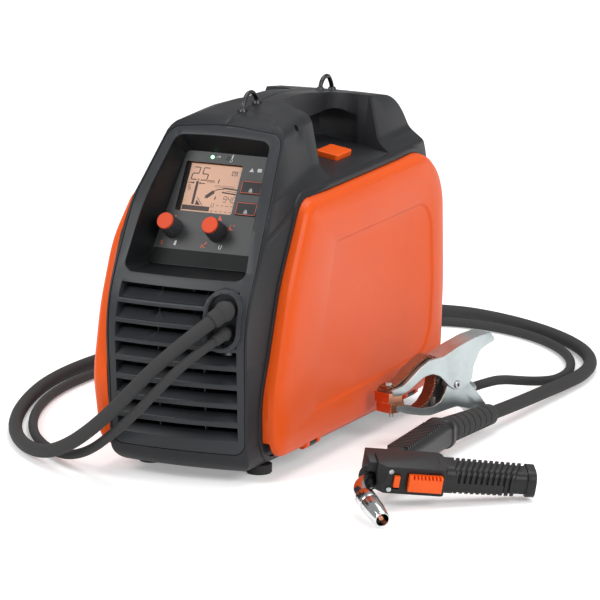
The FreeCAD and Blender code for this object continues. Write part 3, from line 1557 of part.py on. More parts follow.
def torch_trigger():
    """Orange trigger, hinged on a pin at its end next to the nozzle."""
    x0, x1, z0, z1 = trigger_window
    gap = 0.45
    x = x0 + 3.5
    face = trigger_front
    body = box(x0 + 0.9, x1 - 1.2, 10.5, face, z0 + gap, z1 - gap)
    body = body.makeFillet(1.0, [e for e in body.Edges if e.BoundBox.YMin > face - 0.1])
    grooves = [box(x0 + 4 + i * 3.4, x0 + 5.9 + i * 3.4, face - 5.7, face + 6, z0, z0 + gap + 3.0)
               for i in range(8)]
    ear = rod(3.0, Vector(x, trigger_pin_y, z0 + gap), Vector(x, trigger_pin_y, z1 - gap))
    body = fuse([body, ear]).cut(grooves)
    body = body.cut(rod(1.5 + running, Vector(x, trigger_pin_y, z0), Vector(x, trigger_pin_y, z1)))
    body = body.cut(box(x1 - 8, x1 + 1, 8, 14.5, z0, z1))
    return placed(body, grip_frame())


def trigger_lock():
    l0, l1, m0, m1 = lock_window
    gap = 0.4
    body = box(l0 + gap, l1 - gap, 11.0, 20.5, m0 + gap, m1 - gap - lock_travel)
    return placed(body, grip_frame())


def clamp_frame():
    """Frame of the earth clamp: X along it from the jaws, Y up, Z across it."""
    a = math.radians(clamp_heading)
    along = Vector(math.cos(a), math.sin(a), 0)
    up = Vector(0, 0, 1)
    across = along.cross(up)
    matrix = FreeCAD.Matrix(along.x, up.x, across.x, clamp_jaw.x, along.y, up.y, across.y, clamp_jaw.y,
                            along.z, up.z, across.z, clamp_jaw.z, 0, 0, 0, 1)
    return Placement(matrix)


def across(corners, half, start=None):
    low = -half if start is None else start
    return slab(corners, "XY", low, half)


def channel(outline, half, shift):
    """A bent-sheet arm: two cheeks and a web along the side the shift points away from."""
    body = across(outline, half)
    core = across(outline, half - arm_sheet)
    core.translate(Vector(0, shift, 0))
    return body.cut(core)


def arm_hole(radius):
    s, z = clamp_pivot
    return Part.makeCylinder(radius, 60, Vector(s, z, -30))


def upper_arm_solid():
    return channel(upper_outline, upper_half, -arm_sheet)


def braid_slot():
    """Slot in the upper arm's web where the braid dips inside."""
    half = braid_half + braid_room
    return box(50.5, 59.5, 30, 80, -half, half)


def clamp_upper():
    arm = upper_arm_solid().cut([arm_hole(clamp_bolt + running), braid_slot()])
    return placed(arm, clamp_frame())


def lug_at(distance):
    """A point on the lug's axis, in the clamp's frame."""
    a = math.radians(lug_turn)
    return Vector(lug_start + distance * math.cos(a), lug_height, -distance * math.sin(a))


def clamp_lower():
    s, z = clamp_pivot
    arm = channel(lower_outline, lower_half, arm_sheet)
    barrel = rod(lug_radius, lug_at(-6), lug_at(lug_length))
    tread = box(88, 100, 3, lug_height, -4, 4).common(across(lower_outline, lower_half))
    cheeks = []
    for t in (-lower_half, lower_half - arm_sheet):
        cheeks.append(Part.makeCylinder(8, arm_sheet, Vector(s, z, t)))
    return placed(fuse([arm, tread, barrel] + cheeks).cut(arm_hole(clamp_bolt)), clamp_frame())


def upper_jaw():
    low = jaw_seam + jaw_gap / 2
    block = box(upper_jaw_start, upper_jaw_start + jaw_length, low, low + jaw_height, -jaw_half, jaw_half)
    return placed(block.cut(across(upper_outline, upper_half + 1)), clamp_frame())


def lower_jaw():
    high = jaw_seam - jaw_gap / 2
    block = box(lower_jaw_start, lower_jaw_start + jaw_length, high - jaw_height, high, -jaw_half, jaw_half)
    return placed(block.cut(across(lower_outline, upper_half + 1)), clamp_frame())


def clamp_bolts():
    """The rivet on which the two arms turn."""
    s, z = clamp_pivot
    out = upper_half + 0.3
    radius, height = pivot_head
    pivot = fuse([
        Part.makeCylinder(clamp_bolt, 2 * out, Vector(s, z, -out)),
        Part.makeCylinder(radius, height, Vector(s, z, out)),
        Part.makeCylinder(radius, height, Vector(s, z, -out - height)),
    ])
    return [placed(pivot, clamp_frame())]


def clamp_spring():
    """Torsion spring round the pivot bolt, with one leg to each arm."""
    s, z = clamp_pivot
    helix = Part.makeHelix(spring_pitch, spring_pitch * spring_turns, spring_radius)
    ring = Part.Wire([Part.makeCircle(spring_wire, Vector(spring_radius, 0, 0), Vector(0, 1, 0))])
    coil = Part.Wire(helix.Edges).makePipeShell([ring], True, True)
    coil.translate(Vector(s, z, -spring_pitch * spring_turns / 2))
    return placed(coil, clamp_frame())


def ribbon(points, thick):
    """Outline of a flat strip of even thickness along a path."""
    upper = []
    lower = []
    for i, (a, b) in enumerate(points):
        before = points[max(i - 1, 0)]
        after = points[min(i + 1, len(points) - 1)]
        way = Vector(after[0] - before[0], after[1] - before[1], 0)
        way.normalize()
        upper.append((a - way.y * thick / 2, b + way.x * thick / 2, 4))
        lower.append((a + way.y * thick / 2, b - way.x * thick / 2, 4))
    ring = upper + lower[::-1]
    ends = (0, len(upper) - 1, len(upper), len(ring) - 1)
    return [(a, b, 0 if i in ends else r) for i, (a, b, r) in enumerate(ring)]


def clamp_braid():
    """Flat copper braid from the upper jaw over the arm and inside to the lower jaw."""
    return placed(across(ribbon(braid_path, braid_thick), braid_half), clamp_frame())


def torch_cable_points():
    start = torch_gland_centre + toward(torch_gland_centre, torch_route) * torch_collar_reach
    end = sleeve_end()
    return [tuple(start)] + torch_route + [tuple(end + sleeve_way() * sleeve_lead), tuple(end)]


def earth_cable_points():
    start = earth_gland_centre + toward(earth_gland_centre, earth_route) * earth_collar_reach
    frame = clamp_frame()
    end = frame.multVec(lug_at(lug_length))
    lead = frame.multVec(lug_at(lug_length + lug_lead))
    return [tuple(start)] + earth_route + [tuple(lead), tuple(end)]


def split_housing():
    whole = housing()
    reach = 400
    left = whole.common(box(-reach, 0, -reach, reach, -10, reach))
    right = whole.common(box(0, reach, -reach, reach, -10, reach))
    return left, right


def save(name, shapes):
    """Write one node, and print its solids and volume."""
    if not isinstance(shapes, (list, tuple)):
        shapes = [shapes]
    solids = [solid for shape in shapes for solid in shape.Solids]
    Part.makeCompound(solids).exportStep("parts/" + name + ".step")
    volume = sum(solid.Volume for solid in solids) / 1000
    valid = all(solid.isValid() for solid in solids)
    print(f"{name:16s} {len(solids)} solids {volume:9.2f} cm3 {'' if valid else 'NOT VALID'}")


def main():
    os.makedirs("parts", exist_ok=True)
    left_shell, right_shell = split_housing()
    save("housing_left", left_shell)
    save("housing_right", right_shell)
    save("front_bezel", front_bezel())
    save("control_plate", control_plate())
    save("display_glass", display_glass())
    save("control_board", control_board())
    save("status_lamps", status_lamps())
    save("knob_left", knob_body(knob_places[0]))
    save("knob_right", knob_body(knob_places[1]))
    save("knob_left_cap", knob_cap(knob_places[0]))
    save("knob_right_cap", knob_cap(knob_places[1]))
    save("mode_key", panel_key(key_places[0]))
    save("material_key", panel_key(key_places[1]))
    save("cable_glands", cable_glands())
    save("side_door", side_door())
    save("cover_left", cover_left())
    save("hinge_pins", hinge_pins())
    save("latch_button", latch_button())
    save("feet", feet())
    save("strap_loops", strap_loops())
    save("rear_panel", rear_panel())
    for name, make in (
        ("mains_switch", mains_switch), ("switch_rocker", switch_rocker),
        ("mains_gland", mains_gland), ("gas_inlet", gas_inlet), ("gas_valve", gas_valve),
        ("mid_wall", mid_wall), ("power_board", power_board), ("heat_sink", heat_sink),
        ("transformer", transformer), ("fan_frame", fan_frame), ("fan_rotor", fan_rotor),
        ("feeder_plate", feeder_plate), ("feeder_motor", feeder_motor),
        ("drive_roll", drive_roll), ("pressure_roll", pressure_roll),
        ("pressure_arm", pressure_arm), ("tension_knob", tension_knob),
        ("spool_axle", spool_axle), ("wire_spool", wire_spool), ("wire_winding", wire_winding),
        ("housing_screws", housing_screws),
        ("torch_body", torch_shaft), ("torch_sleeve", torch_sleeve), ("torch_neck", torch_neck),
        ("gas_nozzle", gas_nozzle), ("contact_tip", contact_tip), ("torch_grip", torch_grip),
        ("torch_screws", torch_screws), ("torch_trigger", torch_trigger),
        ("trigger_lock", trigger_lock), ("clamp_upper", clamp_upper),
        ("clamp_lower", clamp_lower), ("upper_jaw", upper_jaw), ("lower_jaw", lower_jaw),
        ("clamp_bolts", clamp_bolts), ("clamp_spring", clamp_spring),
        ("clamp_braid", clamp_braid),
    ):
        save(name, make())
    save("torch_cable", cord("torch_cable", torch_cable_points(), torch_cable))
    save("earth_cable", cord("earth_cable", earth_cable_points(), earth_cable))


if __name__ == "__main__":
    main()
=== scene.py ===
"""The looks of a portable MIG welding machine with its torch and earth clamp.

Lengths are in metres in the machine's own frame: +Z up, -Y out of the control
front, +X towards the side door.
"""

import json
import logging
import math
from dataclasses import dataclass
from enum import Enum
from functools import cache
from typing import Callable, Iterable, Sequence

import bmesh
import bpy
from mathutils import Matrix, Vector
from mathutils.bvhtree import BVHTree

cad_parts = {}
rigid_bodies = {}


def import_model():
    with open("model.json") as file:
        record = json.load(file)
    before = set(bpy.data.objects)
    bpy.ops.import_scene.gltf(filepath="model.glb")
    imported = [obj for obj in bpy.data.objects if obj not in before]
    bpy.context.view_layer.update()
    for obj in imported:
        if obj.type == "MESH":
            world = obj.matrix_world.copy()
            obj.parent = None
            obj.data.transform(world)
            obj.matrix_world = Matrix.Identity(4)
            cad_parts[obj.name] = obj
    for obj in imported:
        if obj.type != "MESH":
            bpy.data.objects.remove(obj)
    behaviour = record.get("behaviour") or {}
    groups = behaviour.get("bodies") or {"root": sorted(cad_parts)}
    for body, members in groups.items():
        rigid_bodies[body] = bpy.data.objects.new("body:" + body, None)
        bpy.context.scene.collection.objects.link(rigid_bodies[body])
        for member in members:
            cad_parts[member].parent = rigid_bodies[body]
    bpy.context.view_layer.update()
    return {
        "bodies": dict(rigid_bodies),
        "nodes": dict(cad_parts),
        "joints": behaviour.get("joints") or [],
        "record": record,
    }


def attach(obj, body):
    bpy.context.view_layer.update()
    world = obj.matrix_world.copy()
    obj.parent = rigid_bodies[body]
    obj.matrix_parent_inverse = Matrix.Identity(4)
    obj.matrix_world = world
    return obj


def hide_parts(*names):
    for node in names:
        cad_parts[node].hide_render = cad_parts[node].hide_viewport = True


LOG = logging.getLogger("welding_machine")
MM = 0.001
SHARP = 30.0  # edges sharper than this many degrees stay sharp
FLAT = 0.4  # faces this many degrees apart are one flat face
SAME_PLACE = 2e-6  # corners this near to each other, in metres, are one corner
ROUNDING_STEPS = 2  # facets across a softened edge
STRAY = 1.05  # rounded corners farther off the solid, in rounding widths, are drawn back
WHITE = (1.0, 1.0, 1.0)

Point = tuple[float, float, float]
Flat = tuple[float, float]
Colour = tuple[float, float, float]
Node = bpy.types.Node
Key = str | int  # a socket by its name or its place


class Body(str, Enum):
    """The rigid bodies that the pieces ride on."""

    MACHINE = "machine"
    DOOR = "side_door"
    LATCH = "latch_button"
    KNOB_LEFT = "knob_left"
    KNOB_RIGHT = "knob_right"
    MODE_KEY = "mode_key"
    MATERIAL_KEY = "material_key"
    ROCKER = "switch_rocker"
    FAN = "fan_rotor"
    SPOOL = "wire_spool"
    DRIVE_ROLL = "drive_roll"
    PRESSURE_ARM = "pressure_arm"
    PRESSURE_ROLL = "pressure_roll"
    TENSION = "tension_knob"
    TRIGGER = "torch_trigger"
    LOCK = "trigger_lock"
    CLAMP = "clamp_upper"


def deselect() -> None:
    """Clears the selection, so that an operator acts on nothing else."""
    if bpy.context.object is not None and bpy.context.object.mode != "OBJECT":
        bpy.ops.object.mode_set(mode="OBJECT")
    bpy.ops.object.select_all(action="DESELECT")


def select_only(piece: bpy.types.Object) -> None:
    """Makes one object the selected and active one.

    Args:
        piece: The object to work on.
    """
    deselect()
    piece.select_set(True)
    bpy.context.view_layer.objects.active = piece


def edit_whole(piece: bpy.types.Object, operator: Callable[..., set[str]],
               **settings: float) -> None:
    """Runs a mesh operator on the whole of a piece.

    Args:
        piece: The piece.
        operator: The operator.
        **settings: The operator's settings.
    """
    select_only(piece)
    bpy.ops.object.mode_set(mode="EDIT")
    bpy.ops.mesh.select_all(action="SELECT")
    operator(**settings)
    bpy.ops.object.mode_set(mode="OBJECT")


def set_inputs(node: Node, **values: object) -> None:
    """Sets a node's input sockets by name, with underscores for spaces."""
    for name, value in values.items():
        node.inputs[name.replace("_", " ")].default_value = value


def rgba(colour: Colour) -> tuple[float, float, float, float]:
    """Returns a colour with full alpha."""
    return (*colour, 1.0)


def standing_frame(place: Point, lean: float = 0.0, heading: float = 0.0) -> Matrix:
    """Returns the frame of a plane that stands at a place, facing the front.

    Args:
        place: The frame's origin in metres.
        lean: How far the plane leans back, in degrees.
        heading: How far it is turned about the vertical, in degrees.

    Returns:
        The frame, with X across the plane, Y up it and Z out of it.
    """
    upright = Matrix.Rotation(math.radians(90.0 - lean), 4, "X")
    return Matrix.Translation(place) @ Matrix.Rotation(math.radians(heading), 4, "Z") @ upright


# the leaning control plate, the display recess round it, and the clamp as it lies
PLATE = standing_frame((0.0, -0.113, 0.241), lean=32.0)
RECESS = standing_frame((0.0, -0.1428, 0.247), lean=37.2)
CLAMP = standing_frame((0.112, 0.015, 0.02), heading=68.0)


def mesh_piece(mesh: bmesh.types.BMesh, name: str) -> bpy.types.Object:
    """Turns finished mesh code into an object at the origin.

    Args:
        mesh: The mesh, freed afterwards.
        name: The object's name.

    Returns:
        The object.
    """
    bmesh.ops.recalc_face_normals(mesh, faces=mesh.faces)
    data = bpy.data.meshes.new(name)
    mesh.to_mesh(data)
    mesh.free()
    piece = bpy.data.objects.new(name, data)
    bpy.context.scene.collection.objects.link(piece)
    select_only(piece)
    bpy.ops.object.shade_smooth_by_angle(angle=math.radians(SHARP))
    return piece


def turned(name: str, profile: Sequence[Flat], frame: Matrix, sides: int = 32) -> bpy.types.Object:
    """A closed turned solid, or a prism when it has few sides.

    Args:
        name: The object's name.
        profile: Radius and height in millimetres, from one end to the other.
        frame: Its Z is the axis.
        sides: Steps round the axis.

    Returns:
        The object.
    """
    mesh = bmesh.new()
    steps = [2 * math.pi * i / sides for i in range(sides)]
    rings = []
    for radius, height in profile:
        places = [Vector((radius * math.cos(a), radius * math.sin(a), height)) for a in steps]
        rings.append([mesh.verts.new(frame @ (place * MM)) for place in places])
    for low, high in zip(rings, rings[1:]):
        for i in range(sides):
            j = (i + 1) % sides
            mesh.faces.new((low[i], low[j], high[j], high[i]))
    mesh.faces.new(rings[0])
    mesh.faces.new(rings[-1])
    return mesh_piece(mesh, name)


SEVEN = {"0": "abcdef", "2": "abged", "4": "fgbc", "5": "afgcd", "9": "abcdfg", "U": "bcdef"}
SEGMENT_ENDS = {
    "a": ((0.0, 1.0), (1.0, 1.0)), "b": ((1.0, 1.0), (1.0, 0.5)), "c": ((1.0, 0.5), (1.0, 0.0)),
    "d": ((0.0, 0.0), (1.0, 0.0)), "e": ((0.0, 0.5), (0.0, 0.0)), "f": ((0.0, 1.0), (0.0, 0.5)),
    "g": ((0.0, 0.5), (1.0, 0.5)),
}


class Print:
    """Flat marks on one plane, gathered into a thin mesh; millimetres in the plane."""

    THICKNESS = 0.1
    CAP = 0.9  # how far a line runs past its points, in half widths
    SLANT = 0.1  # how far a figure leans over, in heights
    GAP = 0.65  # room at a segment's ends, in its widths
    DISC_STEPS = 20
    OVAL_STEPS = 16

    def __init__(self, plane: Matrix, level: float) -> None:
        """Starts with no marks.

        Args:
            plane: The plane's frame.
            level: Height of the marks' middle over the plane.
        """
        self.plane = plane
        self.levels = (level - self.THICKNESS / 2, level + self.THICKNESS / 2)
        self.mesh = bmesh.new()

    def shape(self, corners: Sequence[Flat]) -> None:
        """Adds a filled outline.

        Args:
            corners: Its corners, in order.
        """
        low, high = ([self.mesh.verts.new(self.plane @ (Vector((x, y, level)) * MM))
                      for x, y in corners] for level in self.levels)
        self.mesh.faces.new(high)
        self.mesh.faces.new(list(reversed(low)))
        for i in range(len(corners)):
            j = (i + 1) % len(corners)
            self.mesh.faces.new((low[i], low[j], high[j], high[i]))

    def block(self, x0: float, x1: float, y0: float, y1: float) -> None:
        """Adds a filled rectangle."""
        self.shape([(x0, y0), (x1, y0), (x1, y1), (x0, y1)])

    def stroke(self, points: Sequence[Flat], width: float, closed: bool = False) -> None:
        """Adds a line of even width.

        Args:
            points: The points that it runs through.
            width: Its width.
            closed: Whether it runs back to its first point.
        """
        ends = [Vector(p) for p in points] + ([Vector(points[0])] if closed else [])
        for start, end in zip(ends, ends[1:]):
            along = (end - start).normalized() * width / 2
            side = Vector((-along.y, along.x))
            start, end = start - along * self.CAP, end + along * self.CAP
            self.shape([tuple(start - side), tuple(end - side), tuple(end + side),
                        tuple(start + side)])

    def disc(self, x: float, y: float, radius: float) -> None:
        """Adds a filled circle."""
        steps = [2 * math.pi * i / self.DISC_STEPS for i in range(self.DISC_STEPS)]
        self.shape([(x + radius * math.cos(a), y + radius * math.sin(a)) for a in steps])

    def loop(self, x: float, y: float, half_x: float, half_y: float, width: float) -> None:
        """Adds an oval line.

        Args:
            x: Its middle.
            y: Its middle's height.
            half_x: Half its width.
            half_y: Half its height.
            width: The line's width.
        """
        steps = [2 * math.pi * i / self.OVAL_STEPS for i in range(self.OVAL_STEPS)]
        ring = [(x + half_x * math.cos(a), y + half_y * math.sin(a)) for a in steps]
        self.stroke(ring, width, True)

    def digit(self, sign: str, x: float, y: float, width: float, height: float,
              weight: float) -> None:
        """Adds one seven-segment figure, leaning a little.

        Args:
            sign: Which figure.
            x: Its left side.
            y: Its foot.
            width: Its width.
            height: Its height.
            weight: Width of its segments.
        """
        for name in SEVEN[sign]:
            ends = [Vector((x + u * width + self.SLANT * v * height, y + v * height))
                    for u, v in SEGMENT_ENDS[name]]
            gap = (ends[1] - ends[0]).normalized() * weight * self.GAP
            self.stroke([tuple(ends[0] + gap), tuple(ends[1] - gap)], weight)

    def piece(self, name: str) -> bpy.types.Object:
        """Returns the marks as one object."""
        return mesh_piece(self.mesh, name)


class NodeBoard:
    """One node tree, with short ways to add and join its nodes."""

    def __init__(self, tree: bpy.types.NodeTree) -> None:
        """Keeps the tree."""
        self.tree = tree

    def add(self, kind: str, **settings: object) -> Node:
        """Adds a node with its own settings.

        Args:
            kind: The node's type name.
            **settings: Attributes of the node.

        Returns:
            The new node.
        """
        node = self.tree.nodes.new(kind)
        for name, value in settings.items():
            setattr(node, name, value)
        return node

    def texture(self, kind: str, values: dict[str, object], **settings: object) -> Node:
        """Adds a texture that lies in the piece's own coordinates.

        Args:
            kind: The node's type name.
            values: What its inputs are set to.
            **settings: Attributes of the node.

        Returns:
            The new node.
        """
        node = self.add(kind, **settings)
        set_inputs(node, **values)
        self.link(self.add("ShaderNodeTexCoord"), "Object", node, "Vector")
        return node

    def link(self, source: Node, out: Key, target: Node, into: Key) -> None:
        """Joins an output of one node to an input of another."""
        self.tree.links.new(source.outputs[out], target.inputs[into])


class ShaderGroup(NodeBoard):
    """A node group that several materials place with their own values."""

    def __init__(self, name: str, inputs: Iterable[tuple[str, str, object]],
                 outputs: Iterable[tuple[str, str]]) -> None:
        """Makes the group with its sockets.

        Args:
            name: The group's name.
            inputs: Name, socket type and default of each input.
            outputs: Name and socket type of each output.
        """
        super().__init__(bpy.data.node_groups.new(name, "ShaderNodeTree"))
        for label, kind, default in inputs:
            made = self.tree.interface.new_socket(name=label, in_out="INPUT", socket_type=kind)
            made.default_value = default
        for label, kind in outputs:
            self.tree.interface.new_socket(name=label, in_out="OUTPUT", socket_type=kind)
        self.start = self.add("NodeGroupInput")
        self.end = self.add("NodeGroupOutput")

    def vary_roughness(self, noise: Node) -> None:
        """Leads a noise into the roughness output, scaled by the group's variation.

        Args:
            noise: The noise texture.
        """
        spread = self.add("ShaderNodeMath", operation="SUBTRACT")
        spread.inputs[1].default_value = 0.5
        scaled = self.add("ShaderNodeMath", operation="MULTIPLY_ADD")
        self.link(noise, "Fac", spread, 0)
        self.link(spread, 0, scaled, 0)
        self.link(self.start, "Variation", scaled, 1)
        self.link(self.start, "Roughness", scaled, 2)
        self.link(scaled, 0, self.end, "Roughness")


def grain_group() -> bpy.types.NodeTree:
    """Moulded grain: a height and a roughness that vary together.

    Returns:
        The group's node tree.
    """
    group = ShaderGroup(
        "moulded_grain",
        [("Size", "NodeSocketFloat", 900.0), ("Roughness", "NodeSocketFloat", 0.5),
         ("Variation", "NodeSocketFloat", 0.06)],
        [("Height", "NodeSocketFloat"), ("Roughness", "NodeSocketFloat")])
    fine = group.texture("ShaderNodeTexNoise", {"Detail": 3.0, "Roughness": 0.65})
    broad = group.texture("ShaderNodeTexNoise", {"Scale": 14.0, "Detail": 2.0})
    group.link(group.start, "Size", fine, "Scale")
    group.link(fine, "Fac", group.end, "Height")
    group.vary_roughness(broad)
    return group.tree


def tone_group() -> bpy.types.NodeTree:
    """Broad, faint variation of a colour with fine specks, as on handled plastic.

    Returns:
        The group's node tree.
    """
    group = ShaderGroup(
        "tone",
        [("Colour", "NodeSocketColor", rgba((0.5, 0.5, 0.5))),
         ("Other", "NodeSocketColor", rgba((0.4, 0.4, 0.4))),
         ("Scale", "NodeSocketFloat", 9.0), ("Amount", "NodeSocketFloat", 0.5)],
        [("Colour", "NodeSocketColor")])
    clouds = group.texture("ShaderNodeTexNoise", {"Detail": 6.0, "Roughness": 0.7})
    curve = group.add("ShaderNodeMapRange", interpolation_type="SMOOTHSTEP")
    set_inputs(curve, From_Min=0.35, From_Max=0.75)
    share = group.add("ShaderNodeMath", operation="MULTIPLY")
    mix = group.add("ShaderNodeMix", data_type="RGBA")
    group.link(group.start, "Scale", clouds, "Scale")
    group.link(clouds, "Fac", curve, "Value")
    group.link(curve, "Result", share, 0)
    group.link(group.start, "Amount", share, 1)
    group.link(share, 0, mix, "Factor")
    group.link(group.start, "Colour", mix, "A")
    group.link(group.start, "Other", mix, "B")
    group.link(mix, "Result", group.end, "Colour")
    return group.tree


def worked_group() -> bpy.types.NodeTree:
    """Worked metal: fine marks that vary height and roughness together.

    Returns:
        The group's node tree.
    """
    group = ShaderGroup(
        "worked_metal",
        [("Roughness", "NodeSocketFloat", 0.3), ("Variation", "NodeSocketFloat", 0.15)],
        [("Height", "NodeSocketFloat"), ("Roughness", "NodeSocketFloat")])
    marks = group.texture("ShaderNodeTexNoise", {"Scale": 60.0, "Detail": 5.0, "Roughness": 0.6})
    group.link(marks, "Fac", group.end, "Height")
    group.vary_roughness(marks)
    return group.tree


class Pattern(Enum):
    """The patterns that several finishes share."""

    GRAIN = "moulded grain"
    TONE = "broad changes of tone"
    WORKED = "worked metal"


PATTERN_MAKERS: dict[Pattern, Callable[[], bpy.types.NodeTree]] = {
    Pattern.GRAIN: grain_group, Pattern.TONE: tone_group, Pattern.WORKED: worked_group,
}


@cache
def pattern_tree(pattern: Pattern) -> bpy.types.NodeTree:
    """Returns a pattern's shader group, which is built at first use."""
    return PATTERN_MAKERS[pattern]()


class MaterialBench(NodeBoard):
    """One material under construction: its nodes and its Principled shader."""

    def __init__(self, name: str) -> None:
        """Starts a material with an empty Principled shader.

        Args:
            name: The material's name.
        """
        self.material = bpy.data.materials.new(name)
        self.material.use_nodes = True
        super().__init__(self.material.node_tree)
        self.shader = self.tree.nodes["Principled BSDF"]

    def group(self, pattern: Pattern, **values: object) -> Node:
        """Places a pattern with its values.

        Args:
            pattern: Which pattern.
            **values: What its inputs are set to.

        Returns:
            The group's node.
        """
        node = self.add("ShaderNodeGroup", node_tree=pattern_tree(pattern))
        set_inputs(node, **values)
        return node

    def bump(self, source: Node, out: Key, depth: float) -> None:
        """Leads a height into the shader's normal.

        Args:
            source: The node that gives the height.
            out: Its output.
            depth: The relief in metres.
        """
        node = self.add("ShaderNodeBump")
        set_inputs(node, Strength=1.0, Distance=depth)
        self.link(source, out, node, "Height")
        self.link(node, "Normal", self.shader, "Normal")


@dataclass(frozen=True)
class Finish:
    """A named finish, whose material is made at first use."""

    name: str

    def material(self) -> bpy.types.Material:
        """Finds the finish's material, or makes it.

        Returns:
            The material.
        """
        if self.name not in bpy.data.materials:
            self.fill(MaterialBench(self.name))
        return bpy.data.materials[self.name]

    def fill(self, bench: MaterialBench) -> None:
        """Wires the material in the finish's own way."""
        raise NotImplementedError


@dataclass(frozen=True)
class Plastic(Finish):
    """A moulded plastic with grain and faint changes of tone."""

    colour: Colour
    other: Colour
    roughness: float
    grain: float
    relief: float
    specular: float = 0.5

    def fill(self, bench: MaterialBench) -> None:
        """Wires tone, grain and roughness.

        Args:
            bench: The material under construction.
        """
        tone = bench.group(Pattern.TONE, Colour=rgba(self.colour), Other=rgba(self.other),
                           Scale=11.0, Amount=0.6)
        grain = bench.group(Pattern.GRAIN, Size=self.grain, Roughness=self.roughness,
                            Variation=0.08)
        bench.link(tone, "Colour", bench.shader, "Base Color")
        bench.link(grain, "Roughness", bench.shader, "Roughness")
        set_inputs(bench.shader, Specular_IOR_Level=self.specular)
        bench.bump(grain, "Height", self.relief)


@dataclass(frozen=True)
class Metal(Finish):
    """A bare or plated metal with fine marks and faint tarnish."""

    colour: Colour
    other: Colour
    roughness: float
    variation: float = 0.15
    relief: float = 1e-5

    def fill(self, bench: MaterialBench) -> None:
        """Wires tarnish and fine marks.

        Args:
            bench: The material under construction.
        """
        tone = bench.group(Pattern.TONE, Colour=rgba(self.colour), Other=rgba(self.other),
                           Scale=45.0, Amount=0.8)
        marks = bench.group(Pattern.WORKED, Roughness=self.roughness, Variation=self.variation)
        bench.link(tone, "Colour", bench.shader, "Base Color")
        bench.link(marks, "Roughness", bench.shader, "Roughness")
        set_inputs(bench.shader, Metallic=1.0)
        bench.bump(marks, "Height", self.relief)


@dataclass(frozen=True)
class Glow(Finish):
    """A lit surface: a lamp's lens or a backlit display."""

    colour: Colour
    strength: float
    shade: float = 0.86
    roughness: float = 0.25

    def fill(self, bench: MaterialBench) -> None:
        """Wires a faintly uneven light.

        Args:
            bench: The material under construction.
        """
        clouds = bench.texture("ShaderNodeTexNoise", {"Scale": 40.0, "Detail": 1.0})
        mix = bench.add("ShaderNodeMix", data_type="RGBA")
        set_inputs(mix, A=rgba(self.colour), B=rgba(tuple(self.shade * c for c in self.colour)))
        bench.link(clouds, "Fac", mix, "Factor")
        bench.link(mix, "Result", bench.shader, "Base Color")
        bench.link(mix, "Result", bench.shader, "Emission Color")
        set_inputs(bench.shader, Roughness=self.roughness, Emission_Strength=self.strength)


@dataclass(frozen=True)
class Braid(Finish):
    """Flat copper braid: two crossing sets of strands, darker in the hollows as painted shade and
    brighter on the crowns as painted highlight.
    """

    colour: Colour
    hollow_shade: Colour
    crown_highlight: Colour
    lean: float = 0.9
    run: float = 0.384
    strands: float = 170.0
    metallic: float = 0.85
    roughness: float = 0.42
    relief: float = 0.0005

    def fill(self, bench: MaterialBench) -> None:
        """Wires the crossing strands.

        Args:
            bench: The material under construction.
        """
        waves = []
        for lean in (self.lean, -self.lean):
            turn = bench.texture("ShaderNodeMapping", {"Rotation": (0.0, lean, self.run)})
            wave = bench.add("ShaderNodeTexWave", bands_direction="Z")
            set_inputs(wave, Scale=self.strands, Distortion=1.2, Detail=1.0, Detail_Scale=2.0)
            bench.link(turn, "Vector", wave, "Vector")
            waves.append(wave)
        woven = bench.add("ShaderNodeMath", operation="MULTIPLY")
        bench.link(waves[0], "Fac", woven, 0)
        bench.link(waves[1], "Fac", woven, 1)
        # the ramp paints shade into the hollows between strands and a highlight onto the crowns
        ramp = bench.add("ShaderNodeValToRGB")
        ramp.color_ramp.elements[0].color = rgba(self.hollow_shade)
        ramp.color_ramp.elements[1].color = rgba(self.crown_highlight)
        ramp.color_ramp.elements.new(0.45).color = rgba(self.colour)
        bench.link(woven, 0, ramp, "Fac")
        bench.link(ramp, "Color", bench.shader, "Base Color")
        set_inputs(bench.shader, Metallic=self.metallic, Roughness=self.roughness)
        bench.bump(woven, 0, self.relief)


@dataclass(frozen=True)
class Wound(Finish):
    """Wire wound in close turns along the machine's X, painted darker between the turns as shade.
    """

    colour: Colour
    # the colour between turns is painted shade in the crevices
    gap: Colour
    turns: float = 320.0
    metallic: float = 0.9
    roughness: float = 0.34
    relief: float = 0.0004

    def fill(self, bench: MaterialBench) -> None:
        """Wires the turns and the painted shade in the gaps between them.

        Args:
            bench: The material under construction.
        """
        wave = bench.texture("ShaderNodeTexWave", {
            "Scale": self.turns, "Distortion": 0.4, "Detail": 1.0, "Detail Scale": 0.6,
        }, bands_direction="X")
        mix = bench.add("ShaderNodeMix", data_type="RGBA")
        set_inputs(mix, A=rgba(self.gap), B=rgba(self.colour))
        bench.link(wave, "Fac", mix, "Factor")
        bench.link(mix, "Result", bench.shader, "Base Color")
        set_inputs(bench.shader, Metallic=self.metallic, Roughness=self.roughness)
        bench.bump(wave, "Fac", self.relief)


CHARCOAL = Plastic("charcoal_shell", (0.0135, 0.0142, 0.0165), (0.018, 0.0187, 0.021), 0.46,
                   1100.0, 5e-5, specular=0.3)
BEZEL_GREY = Plastic("charcoal_bezel", (0.023, 0.0255, 0.029), (0.028, 0.031, 0.035), 0.42, 1100.0,
                     4e-5, specular=0.32)
